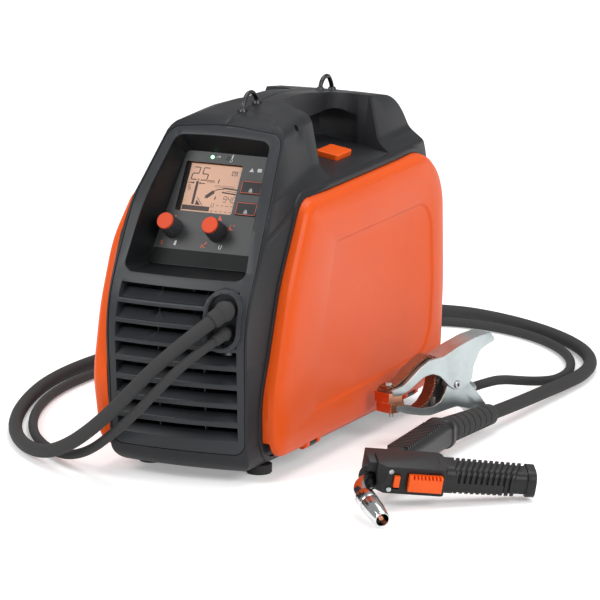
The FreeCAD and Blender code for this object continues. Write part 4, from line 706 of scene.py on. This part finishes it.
# painted shade: a near-black finish for the display recess walls, standing in for the shade inside
# the recess
RECESS_PAINTED_SHADE = Plastic("recess_painted_shade", (0.007, 0.0074, 0.0084), (0.01, 0.0104, 0.0114), 0.38, 1100.0,
                      4e-5, specular=0.25)
ORANGE = Plastic("satin_orange", (0.80, 0.095, 0.007), (0.74, 0.086, 0.006), 0.38, 1300.0,
                 2e-5, specular=0.22)
TRIGGER_ORANGE = Plastic("bright_orange", (0.90, 0.112, 0.008), (0.84, 0.1, 0.007), 0.38, 1300.0,
                         2e-5, specular=0.3)
CAP_RED = Plastic("red_orange_cap", (0.60, 0.065, 0.018), (0.55, 0.058, 0.016), 0.5, 1500.0,
                  2e-5, specular=0.2)
BLACK = Plastic("black_plastic", (0.0065, 0.0065, 0.007), (0.01, 0.01, 0.0105), 0.4, 1200.0,
                3e-5, specular=0.25)
TORCH_BLACK = Plastic("torch_black", (0.0115, 0.0118, 0.0125), (0.016, 0.016, 0.017), 0.42, 1000.0,
                      4e-5, specular=0.3)
RUBBER = Plastic("black_rubber", (0.014, 0.014, 0.0145), (0.02, 0.02, 0.0205), 0.46, 700.0, 3e-5,
                 specular=0.3)
MEMBRANE = Plastic("grey_membrane", (0.046, 0.0475, 0.049), (0.054, 0.0555, 0.057), 0.4, 1800.0,
                   1e-5, specular=0.3)
# dark print of the plate's strip, also used as painted shadow along the display glass's left side
DARK_STRIP_AND_SHADOW = Plastic("dark_strip_and_painted_shadow", (0.0135, 0.0145, 0.0148), (0.017, 0.018, 0.0185), 0.4, 1800.0,
                     1e-5, specular=0.07)
SEGMENT = Plastic("display_segment", (0.062, 0.042, 0.037), (0.075, 0.051, 0.045), 0.4, 1800.0,
                  5e-6, specular=0.2)
PRINT_WHITE = Plastic("white_print", (0.62, 0.63, 0.64), (0.56, 0.57, 0.58), 0.5, 1800.0, 5e-6)
PRINT_GREY = Plastic("grey_print", (0.34, 0.35, 0.36), (0.3, 0.31, 0.32), 0.5, 1800.0, 5e-6)
PRINT_ORANGE = Plastic("orange_print", (0.6, 0.085, 0.02), (0.55, 0.078, 0.018), 0.5, 1800.0, 5e-6)
BOARD_GREEN = Plastic("board_lacquer", (0.02, 0.09, 0.04), (0.025, 0.11, 0.05), 0.35, 500.0, 3e-5)
GREY_PLASTIC = Plastic("grey_plastic", (0.2, 0.21, 0.22), (0.24, 0.25, 0.26), 0.5, 900.0, 3e-5)
WALL_PAINT = Plastic("black_powder_coat", (0.02, 0.02, 0.022), (0.03, 0.03, 0.032), 0.55, 500.0,
                     8e-5)
ZINC = Metal("zinc_plate", (0.54, 0.6, 0.605), (0.42, 0.475, 0.48), 0.38, 0.22)
STEEL = Metal("machined_steel", (0.52, 0.53, 0.55), (0.42, 0.43, 0.45), 0.3)
CHROME = Metal("polished_chrome", (0.66, 0.67, 0.68), (0.58, 0.59, 0.6), 0.14, variation=0.04,
               relief=2e-6)
COPPER = Metal("bare_copper", (0.83, 0.4, 0.25), (0.6, 0.25, 0.14), 0.3)
DARK_COPPER = Braid("braided_copper", (0.42, 0.125, 0.06), (0.11, 0.03, 0.016),
                    (0.85, 0.42, 0.26))
BRASS = Metal("machined_brass", (0.75, 0.55, 0.25), (0.6, 0.42, 0.17), 0.28)
ALUMINIUM = Metal("cast_aluminium", (0.6, 0.61, 0.62), (0.48, 0.49, 0.5), 0.38)
WIRE = Wound("welding_wire", (0.78, 0.42, 0.26), (0.2, 0.09, 0.05))
DARK_STEEL = Metal("blackened_steel", (0.06, 0.06, 0.065), (0.1, 0.1, 0.105), 0.4)
LCD = Glow("display_amber", (0.50, 0.232, 0.115), 0.08)
LAMP_GREEN = Glow("lamp_green", (0.30, 0.98, 0.42), 3.0)
LAMP_OFF = Glow("lamp_unlit", (0.05, 0.09, 0.05), 0.0)


class PieceShop:
    """Makes dressed copies of the fixed nodes and hands finished pieces over."""

    def __init__(self, frame: dict) -> None:
        """Keeps the loaded frame.

        Args:
            frame: What the frame's loading returned.
        """
        self.nodes: dict[str, bpy.types.Object] = frame["nodes"]
        record = frame["record"]
        self.slots: dict[str, str] = {p["node"]: p["material_slot"] for p in record["subparts"]}
        bodies = record["behaviour"]["bodies"]
        self.bodies: dict[str, str] = {n: body for body, held in bodies.items() for n in held}

    def copy(self, node: str, name: str, angle: float) -> bpy.types.Object:
        """A merged, smoothly shaded copy of a node.

        Args:
            node: The node to copy.
            name: The new piece's name.
            angle: Edges sharper than this many degrees stay sharp.

        Returns:
            The copy.
        """
        data = self.nodes[node].data.copy()
        data.materials.clear()
        piece = bpy.data.objects.new(name, data)
        bpy.context.scene.collection.objects.link(piece)
        edit_whole(piece, bpy.ops.mesh.remove_doubles, threshold=SAME_PLACE)
        bpy.ops.object.shade_smooth_by_angle(angle=math.radians(angle))
        return piece

    def dress(self, node: str, finish: Finish, edge: float = 0.0,
              angle: float = SHARP) -> bpy.types.Object:
        """Replaces a node by its smooth copy with a finish.

        Args:
            node: The node.
            finish: Its finish.
            edge: Rounding of its sharp edges in metres, or nothing.
            angle: Edges sharper than this many degrees are sharp.

        Returns:
            The new piece.
        """
        piece = self.copy(node, node + "_shown", angle)
        if edge:
            self.soften(piece, edge, angle)
        return self.hand_over(piece, Body(self.bodies[node]), self.slots[node], finish, node)

    @staticmethod
    def soften(piece: bpy.types.Object, edge: float, angle: float) -> None:
        """Rounds a piece's sharp edges and draws any stray corner back to the solid.

        Args:
            piece: The piece.
            edge: The rounding's width in metres.
            angle: Edges sharper than this many degrees are rounded.
        """
        solid = BVHTree.FromPolygons([v.co.copy() for v in piece.data.vertices],
                                     [tuple(f.vertices) for f in piece.data.polygons])
        edit_whole(piece, bpy.ops.mesh.dissolve_limited, angle_limit=math.radians(FLAT))
        bevel = piece.modifiers.new("edge", "BEVEL")
        bevel.width = edge
        bevel.segments = ROUNDING_STEPS
        bevel.limit_method = "ANGLE"
        bevel.angle_limit = math.radians(angle)
        bevel.use_clamp_overlap = False
        bevel.miter_outer = "MITER_ARC"
        bpy.ops.object.modifier_apply(modifier=bevel.name)
        for corner in piece.data.vertices:
            near, _, _, away = solid.find_nearest(corner.co)
            if away > STRAY * edge:
                corner.co = near
        bpy.ops.object.shade_smooth_by_angle(angle=math.radians(angle))

    @staticmethod
    def paint_where(piece: bpy.types.Object, finish: Finish,
                    chosen: Callable[[bpy.types.MeshPolygon], bool]) -> None:
        """Gives the chosen faces of a piece another finish.

        Args:
            piece: The piece.
            finish: Their finish.
            chosen: Says whether a face is one of them.
        """
        piece.data.materials.append(finish.material())
        last = len(piece.data.materials) - 1
        for face in piece.data.polygons:
            if chosen(face):
                face.material_index = last

    @staticmethod
    def hand_over(piece: bpy.types.Object, body: Body, slot: str, finish: Finish,
                  *stands_for: str) -> bpy.types.Object:
        """Finishes a piece: material, body and the nodes it stands for.

        Args:
            piece: The piece.
            body: The body it rides on.
            slot: The record's material slot; not used.
            finish: Its finish.
            *stands_for: Nodes that it replaces.

        Returns:
            The piece.
        """
        if not piece.data.materials:
            piece.data.materials.append(finish.material())
        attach(piece, body.value)
        if stands_for:
            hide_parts(*stands_for)
        LOG.info("piece %s on %s", piece.name, body.value)
        return piece


@dataclass(frozen=True)
class Cable:
    """A cable in one loop behind the machine; all sizes in metres."""

    node: str
    diameter: float
    length: float
    far_end: str
    route: Sequence[Point]

    def lay(self) -> None:
        curve = bpy.data.curves.new(self.node + "_line", "CURVE")
        curve.dimensions = "3D"
        spline = curve.splines.new("NURBS")
        spline.points.add(len(self.route) - 1)
        for point, place in zip(spline.points, self.route):
            point.co = (*place, 1.0)
        spline.order_u = 3
        spline.use_endpoint_u = True
        spline.resolution_u = 12
        curve.bevel_depth = self.diameter / 2
        curve.bevel_resolution = 7
        curve.use_fill_caps = True
        cable = bpy.data.objects.new(self.node + "_shown", curve)
        bpy.context.scene.collection.objects.link(cable)
        PieceShop.hand_over(cable, Body.MACHINE, "black_rubber", RUBBER, self.node)


TORCH_CABLE = Cable(node="torch_cable", diameter=0.013, length=1.65, far_end="tool", route=(
    (0.04172, -0.20728, 0.15532), (0.022, -0.227, 0.137), (-0.006, -0.242, 0.109),
    (-0.034, -0.243, 0.079), (-0.064, -0.237, 0.052), (-0.097, -0.222, 0.029),
    (-0.134, -0.198, 0.012), (-0.172, -0.166, 0.007), (-0.206, -0.122, 0.007),
    (-0.236, -0.062, 0.007), (-0.259, 0.006, 0.007), (-0.275, 0.08, 0.007),
    (-0.276, 0.155, 0.007), (-0.264, 0.232, 0.007), (-0.242, 0.308, 0.007),
    (-0.209, 0.382, 0.007), (-0.166, 0.45, 0.007), (-0.114, 0.504, 0.007), (-0.05, 0.53, 0.007),
    (0.016, 0.512, 0.007), (0.078, 0.478, 0.007), (0.131, 0.432, 0.007), (0.165, 0.38, 0.007),
    (0.18, 0.324, 0.008), (0.181, 0.268, 0.0095), (0.1805, 0.226, 0.011),
    (0.18066, 0.15978, 0.0134), (0.17936, 0.10186, 0.0161),
))
EARTH_CABLE = Cable(node="earth_cable", diameter=0.009, length=1.52, far_end="fitting", route=(
    (0.04382, -0.20765, 0.13644), (0.027, -0.2312, 0.1213), (0.004, -0.241, 0.095),
    (-0.02, -0.24, 0.07), (-0.049, -0.232, 0.045), (-0.082, -0.212, 0.022),
    (-0.118, -0.186, 0.008), (-0.154, -0.156, 0.005), (-0.187, -0.118, 0.005),
    (-0.216, -0.068, 0.005), (-0.24, -0.008, 0.005), (-0.255, 0.06, 0.005),
    (-0.255, 0.132, 0.005), (-0.243, 0.205, 0.005), (-0.221, 0.275, 0.005), (-0.19, 0.342, 0.005),
    (-0.151, 0.404, 0.005), (-0.102, 0.458, 0.005), (-0.044, 0.492, 0.005), (0.014, 0.488, 0.005),
    (0.066, 0.465, 0.005), (0.108, 0.43, 0.005), (0.139, 0.388, 0.005), (0.158, 0.341, 0.005),
    (0.163, 0.297, 0.0065), (0.16, 0.259, 0.0125), (0.157, 0.221, 0.021), (0.1568, 0.186, 0.0295),
    (0.15662, 0.15429, 0.0345), (0.15106, 0.12278, 0.0345),
))


@dataclass(frozen=True)
class SoftBox:
    """One square lamp: where it stands, its edge in metres and its power in watts."""

    place: Point
    size: float
    power: float


@dataclass
class Studio:
    """Camera, floor and soft lights."""

    lens: float = 447.6
    azimuth: float = 25.479
    elevation: float = 12.553
    camera_place: Point = (2.9479, -6.1214, 1.6419)
    sensor_width: float = 36.0
    clip_end: float = 200.0
    floor_size: float = 60.0
    floor_level: float = -0.0002
    floor_shade: float = 0.9
    haze_near: float = 1.0
    haze_far: float = 6.0
    near_glow: float = 0.3
    world_light: float = 0.38
    aim: Point = (0.05, 0.0, 0.15)
    boxes: tuple[SoftBox, ...] = (
        SoftBox((-1.6, -2.2, 2.2), 1.6, 52.0),
        SoftBox((2.6, -1.2, 1.7), 1.3, 44.0),
        SoftBox((0.2, 0.6, 2.9), 2.0, 46.0),
    )

    def build(self) -> None:
        """Sets up the whole studio."""
        self.camera()
        self.floor()
        self.world()
        for box in self.boxes:
            self.lamp(box)

    def camera(self) -> None:
        """Puts the camera at the photograph's point of view."""
        deselect()
        bpy.ops.object.camera_add(
            location=self.camera_place,
            rotation=(math.radians(90 - self.elevation), 0.0, math.radians(self.azimuth)))
        camera = bpy.context.object
        camera.data.lens = self.lens
        camera.data.sensor_width = self.sensor_width
        camera.data.clip_end = self.clip_end
        bpy.context.scene.camera = camera

    def floor(self) -> None:
        """A wide pale floor under the feet, which looks whiter the farther it runs."""
        deselect()
        bpy.ops.mesh.primitive_plane_add(size=self.floor_size,
                                         location=(0.0, 0.0, self.floor_level))
        floor = bpy.context.object
        floor.name = "floor"
        bench = MaterialBench("pale_floor")
        path = bench.add("ShaderNodeLightPath")
        seen = bench.add("ShaderNodeMath", operation="MAXIMUM")
        place = bench.add("ShaderNodeTexCoord")
        away = bench.add("ShaderNodeVectorMath", operation="LENGTH")
        haze = bench.add("ShaderNodeMapRange")
        set_inputs(haze, From_Min=self.haze_near, From_Max=self.haze_far, To_Min=self.near_glow,
                   To_Max=1.0)
        lift = bench.add("ShaderNodeMath", operation="MULTIPLY")
        bench.link(place, "Object", away, 0)
        bench.link(away, "Value", haze, "Value")
        bench.link(path, "Is Camera Ray", seen, 0)
        bench.link(path, "Is Glossy Ray", seen, 1)
        bench.link(seen, 0, lift, 0)
        bench.link(haze, "Result", lift, 1)
        bench.link(lift, 0, bench.shader, "Emission Strength")
        set_inputs(bench.shader, Base_Color=rgba((self.floor_shade,) * 3), Roughness=0.9,
                   Emission_Color=rgba(WHITE), Specular_IOR_Level=0.1)
        floor.data.materials.append(bench.material)

    def world(self) -> None:
        """White all round, softer as a light than as a background."""
        world = bpy.data.worlds.new("studio")
        bpy.context.scene.world = world
        world.use_nodes = True
        board = NodeBoard(world.node_tree)
        background = board.tree.nodes["Background"]
        set_inputs(background, Color=rgba(WHITE))
        path = board.add("ShaderNodeLightPath")
        seen = board.add("ShaderNodeMath", operation="MAXIMUM")
        level = board.add("ShaderNodeMapRange")
        set_inputs(level, To_Min=self.world_light, To_Max=1.0)
        board.link(path, "Is Camera Ray", seen, 0)
        board.link(path, "Is Transmission Ray", seen, 1)
        board.link(seen, 0, level, "Value")
        board.link(level, "Result", background, "Strength")

    def lamp(self, box: SoftBox) -> None:
        """Sets up one lamp, aimed at the machine.

        Args:
            box: What it is and where it stands.
        """
        deselect()
        bpy.ops.object.light_add(type="AREA", location=box.place)
        lamp = bpy.context.object
        lamp.data.shape = "SQUARE"
        lamp.data.size = box.size
        lamp.data.energy = box.power
        aim = Vector(self.aim) - Vector(box.place)
        lamp.rotation_euler = aim.to_track_quat("-Z", "Y").to_euler()


@dataclass
class Assembly:
    """A sub-assembly, whose nodes the piece shop dresses."""

    shop: PieceShop


@dataclass
class Housing(Assembly):
    """The two dark shells, the bezel, the covers and what is fixed to them."""

    shell_edge: float = 0.0003
    bezel_edge: float = 0.0005
    cover_edge: float = 0.0006
    cover_angle: float = 26.0
    button_edge: float = 0.0004
    foot_edge: float = 0.0005
    recess_half_width: float = 0.066
    recess_half_height: float = 0.082
    recess_depth: float = 0.075
    recess_lip: float = 0.002
    wall_slope: float = 0.85

    def build(self) -> None:
        """Dresses the housing's pieces."""
        self.shop.dress("housing_left", CHARCOAL, self.shell_edge)
        self.shop.dress("housing_right", CHARCOAL, self.shell_edge)
        bezel = self.shop.dress("front_bezel", BEZEL_GREY, self.bezel_edge)
        # the recess walls are painted near black as painted shade inside the display recess
        self.shop.paint_where(bezel, RECESS_PAINTED_SHADE, self.in_shaded_recess)
        self.shop.dress("cover_left", ORANGE, self.cover_edge, self.cover_angle)
        self.shop.dress("side_door", ORANGE, self.cover_edge, self.cover_angle)
        self.shop.dress("latch_button", TRIGGER_ORANGE, self.button_edge)
        self.shop.dress("feet", RUBBER, self.foot_edge)
        self.shop.dress("strap_loops", DARK_STEEL)
        self.shop.dress("housing_screws", DARK_STEEL)
        self.shop.dress("hinge_pins", STEEL)

    def in_shaded_recess(self, face: bpy.types.MeshPolygon) -> bool:
        """Says whether a face of the bezel is a wall of the display recess, which is painted near
        black as shade.

        Args:
            face: The face.

        Returns:
            True for a face that looks inward from one of the four sides.
        """
        place = RECESS.inverted() @ face.center
        normal = RECESS.to_3x3().transposed() @ face.normal
        inward = Vector((-place.x, -place.y))
        beside = (abs(place.x) < self.recess_half_width
                  and abs(place.y) < self.recess_half_height
                  and -self.recess_depth < place.z < self.recess_lip)
        return beside and normal.z < self.wall_slope and inward.dot(normal.xy) > 0


@dataclass
class Interior(Assembly):
    """What stands inside the machine and on its rear."""

    rear_angle: float = 5.0

    def build(self) -> None:
        """Dresses the inner pieces."""
        for node, finish in self.finishes().items():
            self.shop.dress(node, finish, angle=self.rear_angle if node == "rear_panel" else SHARP)

    @staticmethod
    def finishes() -> dict[str, Finish]:
        """Lists the inner nodes.

        Returns:
            Each node's finish.
        """
        return {
            "control_board": BOARD_GREEN, "mid_wall": WALL_PAINT, "power_board": BOARD_GREEN,
            "heat_sink": ALUMINIUM, "transformer": STEEL, "fan_frame": BLACK,
            "fan_rotor": BLACK, "gas_valve": BRASS, "feeder_plate": ALUMINIUM,
            "feeder_motor": STEEL, "spool_axle": BLACK, "wire_spool": GREY_PLASTIC,
            "wire_winding": WIRE, "drive_roll": STEEL, "pressure_roll": STEEL,
            "pressure_arm": ALUMINIUM, "tension_knob": CAP_RED, "rear_panel": BEZEL_GREY,
            "mains_switch": BLACK, "switch_rocker": BLACK, "mains_gland": BLACK,
            "gas_inlet": BRASS,
        }


@dataclass
class Torch(Assembly):
    """The welding torch."""

    body_edge: float = 0.0003
    small_edge: float = 0.0002

    def build(self) -> bpy.types.Object:
        """Dresses the torch's pieces.

        Returns:
            The bend sleeve, in which the cable ends.
        """
        self.shop.dress("torch_body", TORCH_BLACK, self.body_edge)
        self.shop.dress("torch_grip", TORCH_BLACK, self.body_edge)
        self.shop.dress("torch_neck", CHROME)
        self.shop.dress("gas_nozzle", CHROME, self.small_edge)
        self.shop.dress("contact_tip", COPPER)
        self.shop.dress("torch_trigger", TRIGGER_ORANGE, self.small_edge)
        self.shop.dress("trigger_lock", TRIGGER_ORANGE, self.small_edge)
        self.shop.dress("torch_screws", ZINC)
        return self.shop.dress("torch_sleeve", RUBBER, self.body_edge)


@dataclass(frozen=True)
class Bolt:
    """A turned end of a bolt, standing up from its place in the clamp's frame."""

    name: str
    profile: Sequence[Flat]
    place: Point
    sides: int
    body: Body


@dataclass
class EarthClamp(Assembly):
    """The sprung earth clamp; the rivet's end and the bolts are in millimetres."""

    edge: float = 0.0003
    pivot: Point = (0.082, 0.025, 0.0)
    rivet_end: Sequence[Flat] = ((1.4, 11.4), (1.5, 12.3), (2.1, 12.5), (3.3, 12.4), (3.9, 11.9),
                                 (3.9, 11.3), (2.9, 11.3))
    bolts: tuple[Bolt, ...] = (
        Bolt("braid_bolt", ((3.2, 0.0), (3.3, 0.3), (3.3, 2.6), (2.8, 3.1)), (1.2, 35.3, 2.6), 6,
             Body.CLAMP),
        Bolt("jaw_bolt_end", ((1.9, 0.0), (2.1, 0.3), (2.1, 5.6)), (4.6, 5.2, 3.0), 24,
             Body.MACHINE),
        Bolt("lower_bolt", ((1.9, 0.0), (1.9, 10.2), (1.6, 10.6)), (62.0, 3.6, 0.0), 24,
             Body.MACHINE),
    )

    def build(self) -> bpy.types.Object:
        """Dresses the clamp's pieces.

        Returns:
            The lower arm, in whose lug the cable ends.
        """
        self.shop.dress("clamp_upper", ZINC, self.edge)
        self.shop.dress("upper_jaw", COPPER, self.edge)
        self.shop.dress("lower_jaw", COPPER, self.edge)
        self.rivet()
        for bolt in self.bolts:
            self.stand(bolt)
        self.shop.dress("clamp_spring", STEEL)
        self.shop.dress("clamp_braid", DARK_COPPER)
        return self.shop.dress("clamp_lower", ZINC, self.edge)

    def rivet(self) -> None:
        """Makes the tubular rivet on which the arms turn, with the floors of the holes in its ends
        painted black as shade.
        """
        profile = [*self.rivet_end, *((r, -h) for r, h in reversed(self.rivet_end))]
        axle = turned("clamp_bolts_shown", profile, CLAMP @ Matrix.Translation(self.pivot))
        self.shop.hand_over(axle, Body.MACHINE, "zinc_steel", STEEL, "clamp_bolts")
        # the end caps, the floors of the rivet's holes, are painted black as painted shade inside
        # the holes
        self.shop.paint_where(axle, BLACK, lambda face: len(face.vertices) > 4)

    def stand(self, bolt: Bolt) -> None:
        """Makes one bolt end, upright in the clamp's frame.

        Args:
            bolt: What it is and where it stands.
        """
        upright = Matrix.Rotation(math.radians(-90), 4, "X")
        frame = CLAMP @ Matrix.Translation(Vector(bolt.place) * MM) @ upright
        piece = turned(bolt.name, bolt.profile, frame, bolt.sides)
        self.shop.hand_over(piece, bolt.body, "zinc_steel", ZINC)


class DisplayMarks(Print):
    """The figures and signs of the display."""

    def readings(self) -> None:
        """Draws the large figures and the signs beside them."""
        for sign, x in (("2", -33.4), ("5", -23.6)):
            self.digit(sign, x, 23.8, 6.0, 12.2, 0.9)
        self.disc(-25.8, 24.0, 0.7)
        for x in (-16.2, -12.4):
            self.stroke([(x, 22.0), (x, 24.0), (x + 1.4, 24.0), (x + 1.4, 22.2),
                         (x + 1.4, 24.0), (x + 2.8, 24.0), (x + 2.8, 22.0)], 0.45)
        self.stroke([(-5.2, 22.4), (-4.7, 25.6)], 0.9)
        self.stroke([(6.6, 30.8), (11.6, 30.8), (11.6, 34.6), (6.6, 34.6)], 0.6, True)
        self.stroke([(7.8, 32.6), (9.0, 33.8), (10.6, 31.8)], 0.5)
        for x, way in ((-30.6, 1.0), (-23.0, -1.0)):
            self.stroke([(x - 4.2 * way, 20.6), (x, 20.6)], 0.8)
            self.shape([(x, 22.0), (x, 19.2), (x + 1.6 * way, 20.6)][::int(way)])
        self.digit("5", -34.4, 13.6, 2.4, 4.2, 0.5)

    def torch_sign(self) -> None:
        """Draws the joint with the torch over it."""
        self.block(-27.4, -24.9, -0.4, 22.4)
        self.block(-35.8, -8.0, -6.1, -1.5)
        self.shape([(-23.4, -0.6), (-18.0, -0.6), (-22.6, 4.4)])
        self.stroke([(-22.4, 6.4), (-16.2, -0.6)], 0.7)
        self.stroke([(-15.4, 6.6), (-13.6, 8.2)], 0.7)
        self.stroke([(-13.0, 8.6), (-8.6, 12.6)], 3.6)
        self.stroke([(-7.4, 13.8), (-4.5, 15.7), (-1.2, 16.6), (1.8, 16.8)], 0.8)
        self.stroke([(1.8, 17.8), (16.4, 17.0)], 1.3)
        self.stroke([(1.4, 13.6), (16.4, 12.6)], 1.3)
        self.stroke([(4.6, 15.3), (15.0, 14.8)], 0.4)
        self.stroke([(-4.9, 6.4), (-4.5, 8.6)], 1.1)

    def lower_row(self) -> None:
        """Draws the small figures and the dashes at the foot."""
        for sign, x in (("9", 3.6), ("4", 8.2), ("0", 12.8)):
            self.digit(sign, x, 4.4, 3.0, 5.4, 0.5)
        self.digit("U", -7.0, -1.4, 2.4, 4.0, 0.5)
        for y in (0.6, -5.2):
            for x in (-1.6, 3.2, 8.0, 12.8):
                self.stroke([(x, y), (x + 1.8, y)], 0.5)
        self.stroke([(-5.0, -6.8), (-5.6, -5.6), (-5.0, -4.0)], 0.45)
        for y in (19.8, 18.4):
            self.stroke([(-8.0, y), (12.0, y)], 0.3)


@dataclass
class ControlPanel(Assembly):
    """The leaning control plate with its display, lamps, keys and knobs.

    The levels are heights over the plate's frame and the marks lie in its plane, all
    in millimetres.
    """

    plate_angle: float = 3.0
    small_edge: float = 0.0002
    gland_edge: float = 0.0003
    lamp_split: float = -0.008  # metres: the lamps to the right of it are out
    glass_shadow_level: float = -2.99
    glass_level: float = -2.98
    print_level: float = 0.02
    key_level: float = 1.31
    key_middle: float = 31.0
    key_half_width: float = 9.8
    key_half_height: float = 5.6
    key_corner: float = 0.4
    keys: tuple[tuple[str, float, Body], ...] = (("mode", 19.5, Body.MODE_KEY),
                                                 ("material", -1.5, Body.MATERIAL_KEY))

    def build(self) -> None:
        """Dresses the panel's pieces."""
        self.shop.dress("control_plate", MEMBRANE, angle=self.plate_angle)
        self.shop.dress("display_glass", LCD)
        lamps = self.shop.dress("status_lamps", LAMP_GREEN)
        self.shop.paint_where(lamps, LAMP_OFF, lambda face: face.center.x > self.lamp_split)
        for side in ("left", "right"):
            self.shop.dress(f"knob_{side}", BLACK, self.small_edge)
            self.shop.dress(f"knob_{side}_cap", CAP_RED)
        for name, _, _ in self.keys:
            self.shop.dress(f"{name}_key", BLACK, self.small_edge)
        self.shop.dress("cable_glands", RUBBER, self.gland_edge)
        self.display()
        self.plate_prints()
        for name, y, body in self.keys:
            self.key_prints(name, y, body)

    def display(self) -> None:
        """Makes the painted shadow along the display's left edge, and the display's figures and
        signs.
        """
        # a dark block on the glass's left side is painted shadow, standing in for the shade of the
        # recess wall
        edge = Print(PLATE, self.glass_shadow_level)
        edge.block(-40.4, -36.4, -7.9, 39.9)
        self.shop.hand_over(edge.piece("display_painted_shadow"), Body.MACHINE, "membrane", DARK_STRIP_AND_SHADOW)
        marks = DisplayMarks(PLATE, self.glass_level)
        marks.readings()
        marks.torch_sign()
        marks.lower_row()
        self.shop.hand_over(marks.piece("display_marks"), Body.MACHINE, "display", SEGMENT)

    def plate_prints(self) -> None:
        """Makes the dark strip and the white and orange marks on the plate."""
        strip = Print(PLATE, self.print_level)
        strip.shape([(-54.2, -58.2), (-51.2, -61.5), (51.2, -61.5), (54.2, -58.2), (52.6, -46.2),
                     (-52.6, -46.2)])
        self.shop.hand_over(strip.piece("plate_strip"), Body.MACHINE, "membrane", DARK_STRIP_AND_SHADOW)
        white = Print(PLATE, self.print_level)
        white.loop(-10.9, 46.9, 0.75, 1.0, 0.34)
        white.stroke([(-9.3, 45.9), (-9.3, 47.9)], 0.34)
        white.stroke([(-9.3, 47.9), (-8.0, 45.9), (-8.0, 47.9)], 0.34)
        white.stroke([(3.9, 45.2), (4.6, 49.6)], 1.0)
        white.loop(3.7, 44.0, 1.2, 1.2, 0.6)
        white.shape([(24.2, 35.0), (29.0, 35.0), (26.8, 38.8)])
        white.block(32.4, 36.8, 35.4, 38.8)
        white.shape([(-33.2, -42.6), (-31.0, -42.6), (-30.6, -38.6), (-31.6, -37.4),
                     (-32.8, -38.8)])
        white.stroke([(12.8, -38.6), (12.6, -41.6), (13.6, -42.6), (14.8, -41.6),
                      (15.2, -38.6)], 0.7)
        self.shop.hand_over(white.piece("white_prints"), Body.MACHINE, "membrane", PRINT_WHITE)
        orange = Print(PLATE, self.print_level)
        orange.digit("5", -46.4, -42.4, 1.7, 3.0, 0.55)
        orange.disc(-37.9, -14.4, 0.9)
        orange.shape([(4.8, -14.8), (9.2, -14.8), (6.6, -9.6)])
        orange.shape([(17.6, -23.2), (22.6, -23.2), (19.4, -20.6), (19.2, -17.0)])
        orange.stroke([(22.0, -18.4), (23.6, -18.4)], 0.5)
        orange.stroke([(22.8, -19.2), (22.8, -17.6)], 0.5)
        orange.stroke([(-5.4, -42.4), (-4.6, -39.4), (-2.6, -42.4), (-1.4, -42.2)], 0.7)
        orange.stroke([(-2.0, -38.8), (-0.6, -37.0)], 1.1)
        self.shop.hand_over(orange.piece("orange_prints"), Body.MACHINE, "membrane", PRINT_ORANGE)

    def key_prints(self, name: str, y: float, body: Body) -> None:
        """Makes a key's thin orange outline and its grey finger mark.

        Args:
            name: The key's short name.
            y: Its middle in the plate's frame.
            body: The key's body.
        """
        wide, less_wide = self.key_half_width, self.key_half_width - self.key_corner
        high, less_high = self.key_half_height, self.key_half_height - self.key_corner
        outline = [(-less_wide, -high), (less_wide, -high), (wide, -less_high),
                   (wide, less_high), (less_wide, high), (-less_wide, high),
                   (-wide, less_high), (-wide, -less_high)]
        line = Print(PLATE, self.key_level)
        line.stroke([(self.key_middle + u, y + v) for u, v in outline], 0.5, True)
        self.shop.hand_over(line.piece(name + "_outline"), body, "orange_plastic", PRINT_ORANGE)
        mark = Print(PLATE, self.key_level)
        mark.shape([(29.0, y - 4.8), (33.0, y - 4.8), (32.4, y - 2.0), (31.4, y - 0.8),
                    (30.6, y - 0.8), (29.6, y - 2.0)])
        self.shop.hand_over(mark.piece(name + "_finger"), body, "membrane", PRINT_GREY)


def main() -> None:
    """Builds the scene in order."""
    logging.basicConfig(level=logging.INFO, format="%(message)s")
    bpy.ops.object.select_all(action="SELECT")
    bpy.ops.object.delete()
    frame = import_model()
    bpy.context.scene.view_settings.view_transform = "Standard"
    shop = PieceShop(frame)
    Studio().build()
    Housing(shop).build()
    ControlPanel(shop).build()
    sleeve = Torch(shop).build()
    arm = EarthClamp(shop).build()
    TORCH_CABLE.lay()
    EARTH_CABLE.lay()
    Interior(shop).build()


if __name__ == "__main__":
    main()
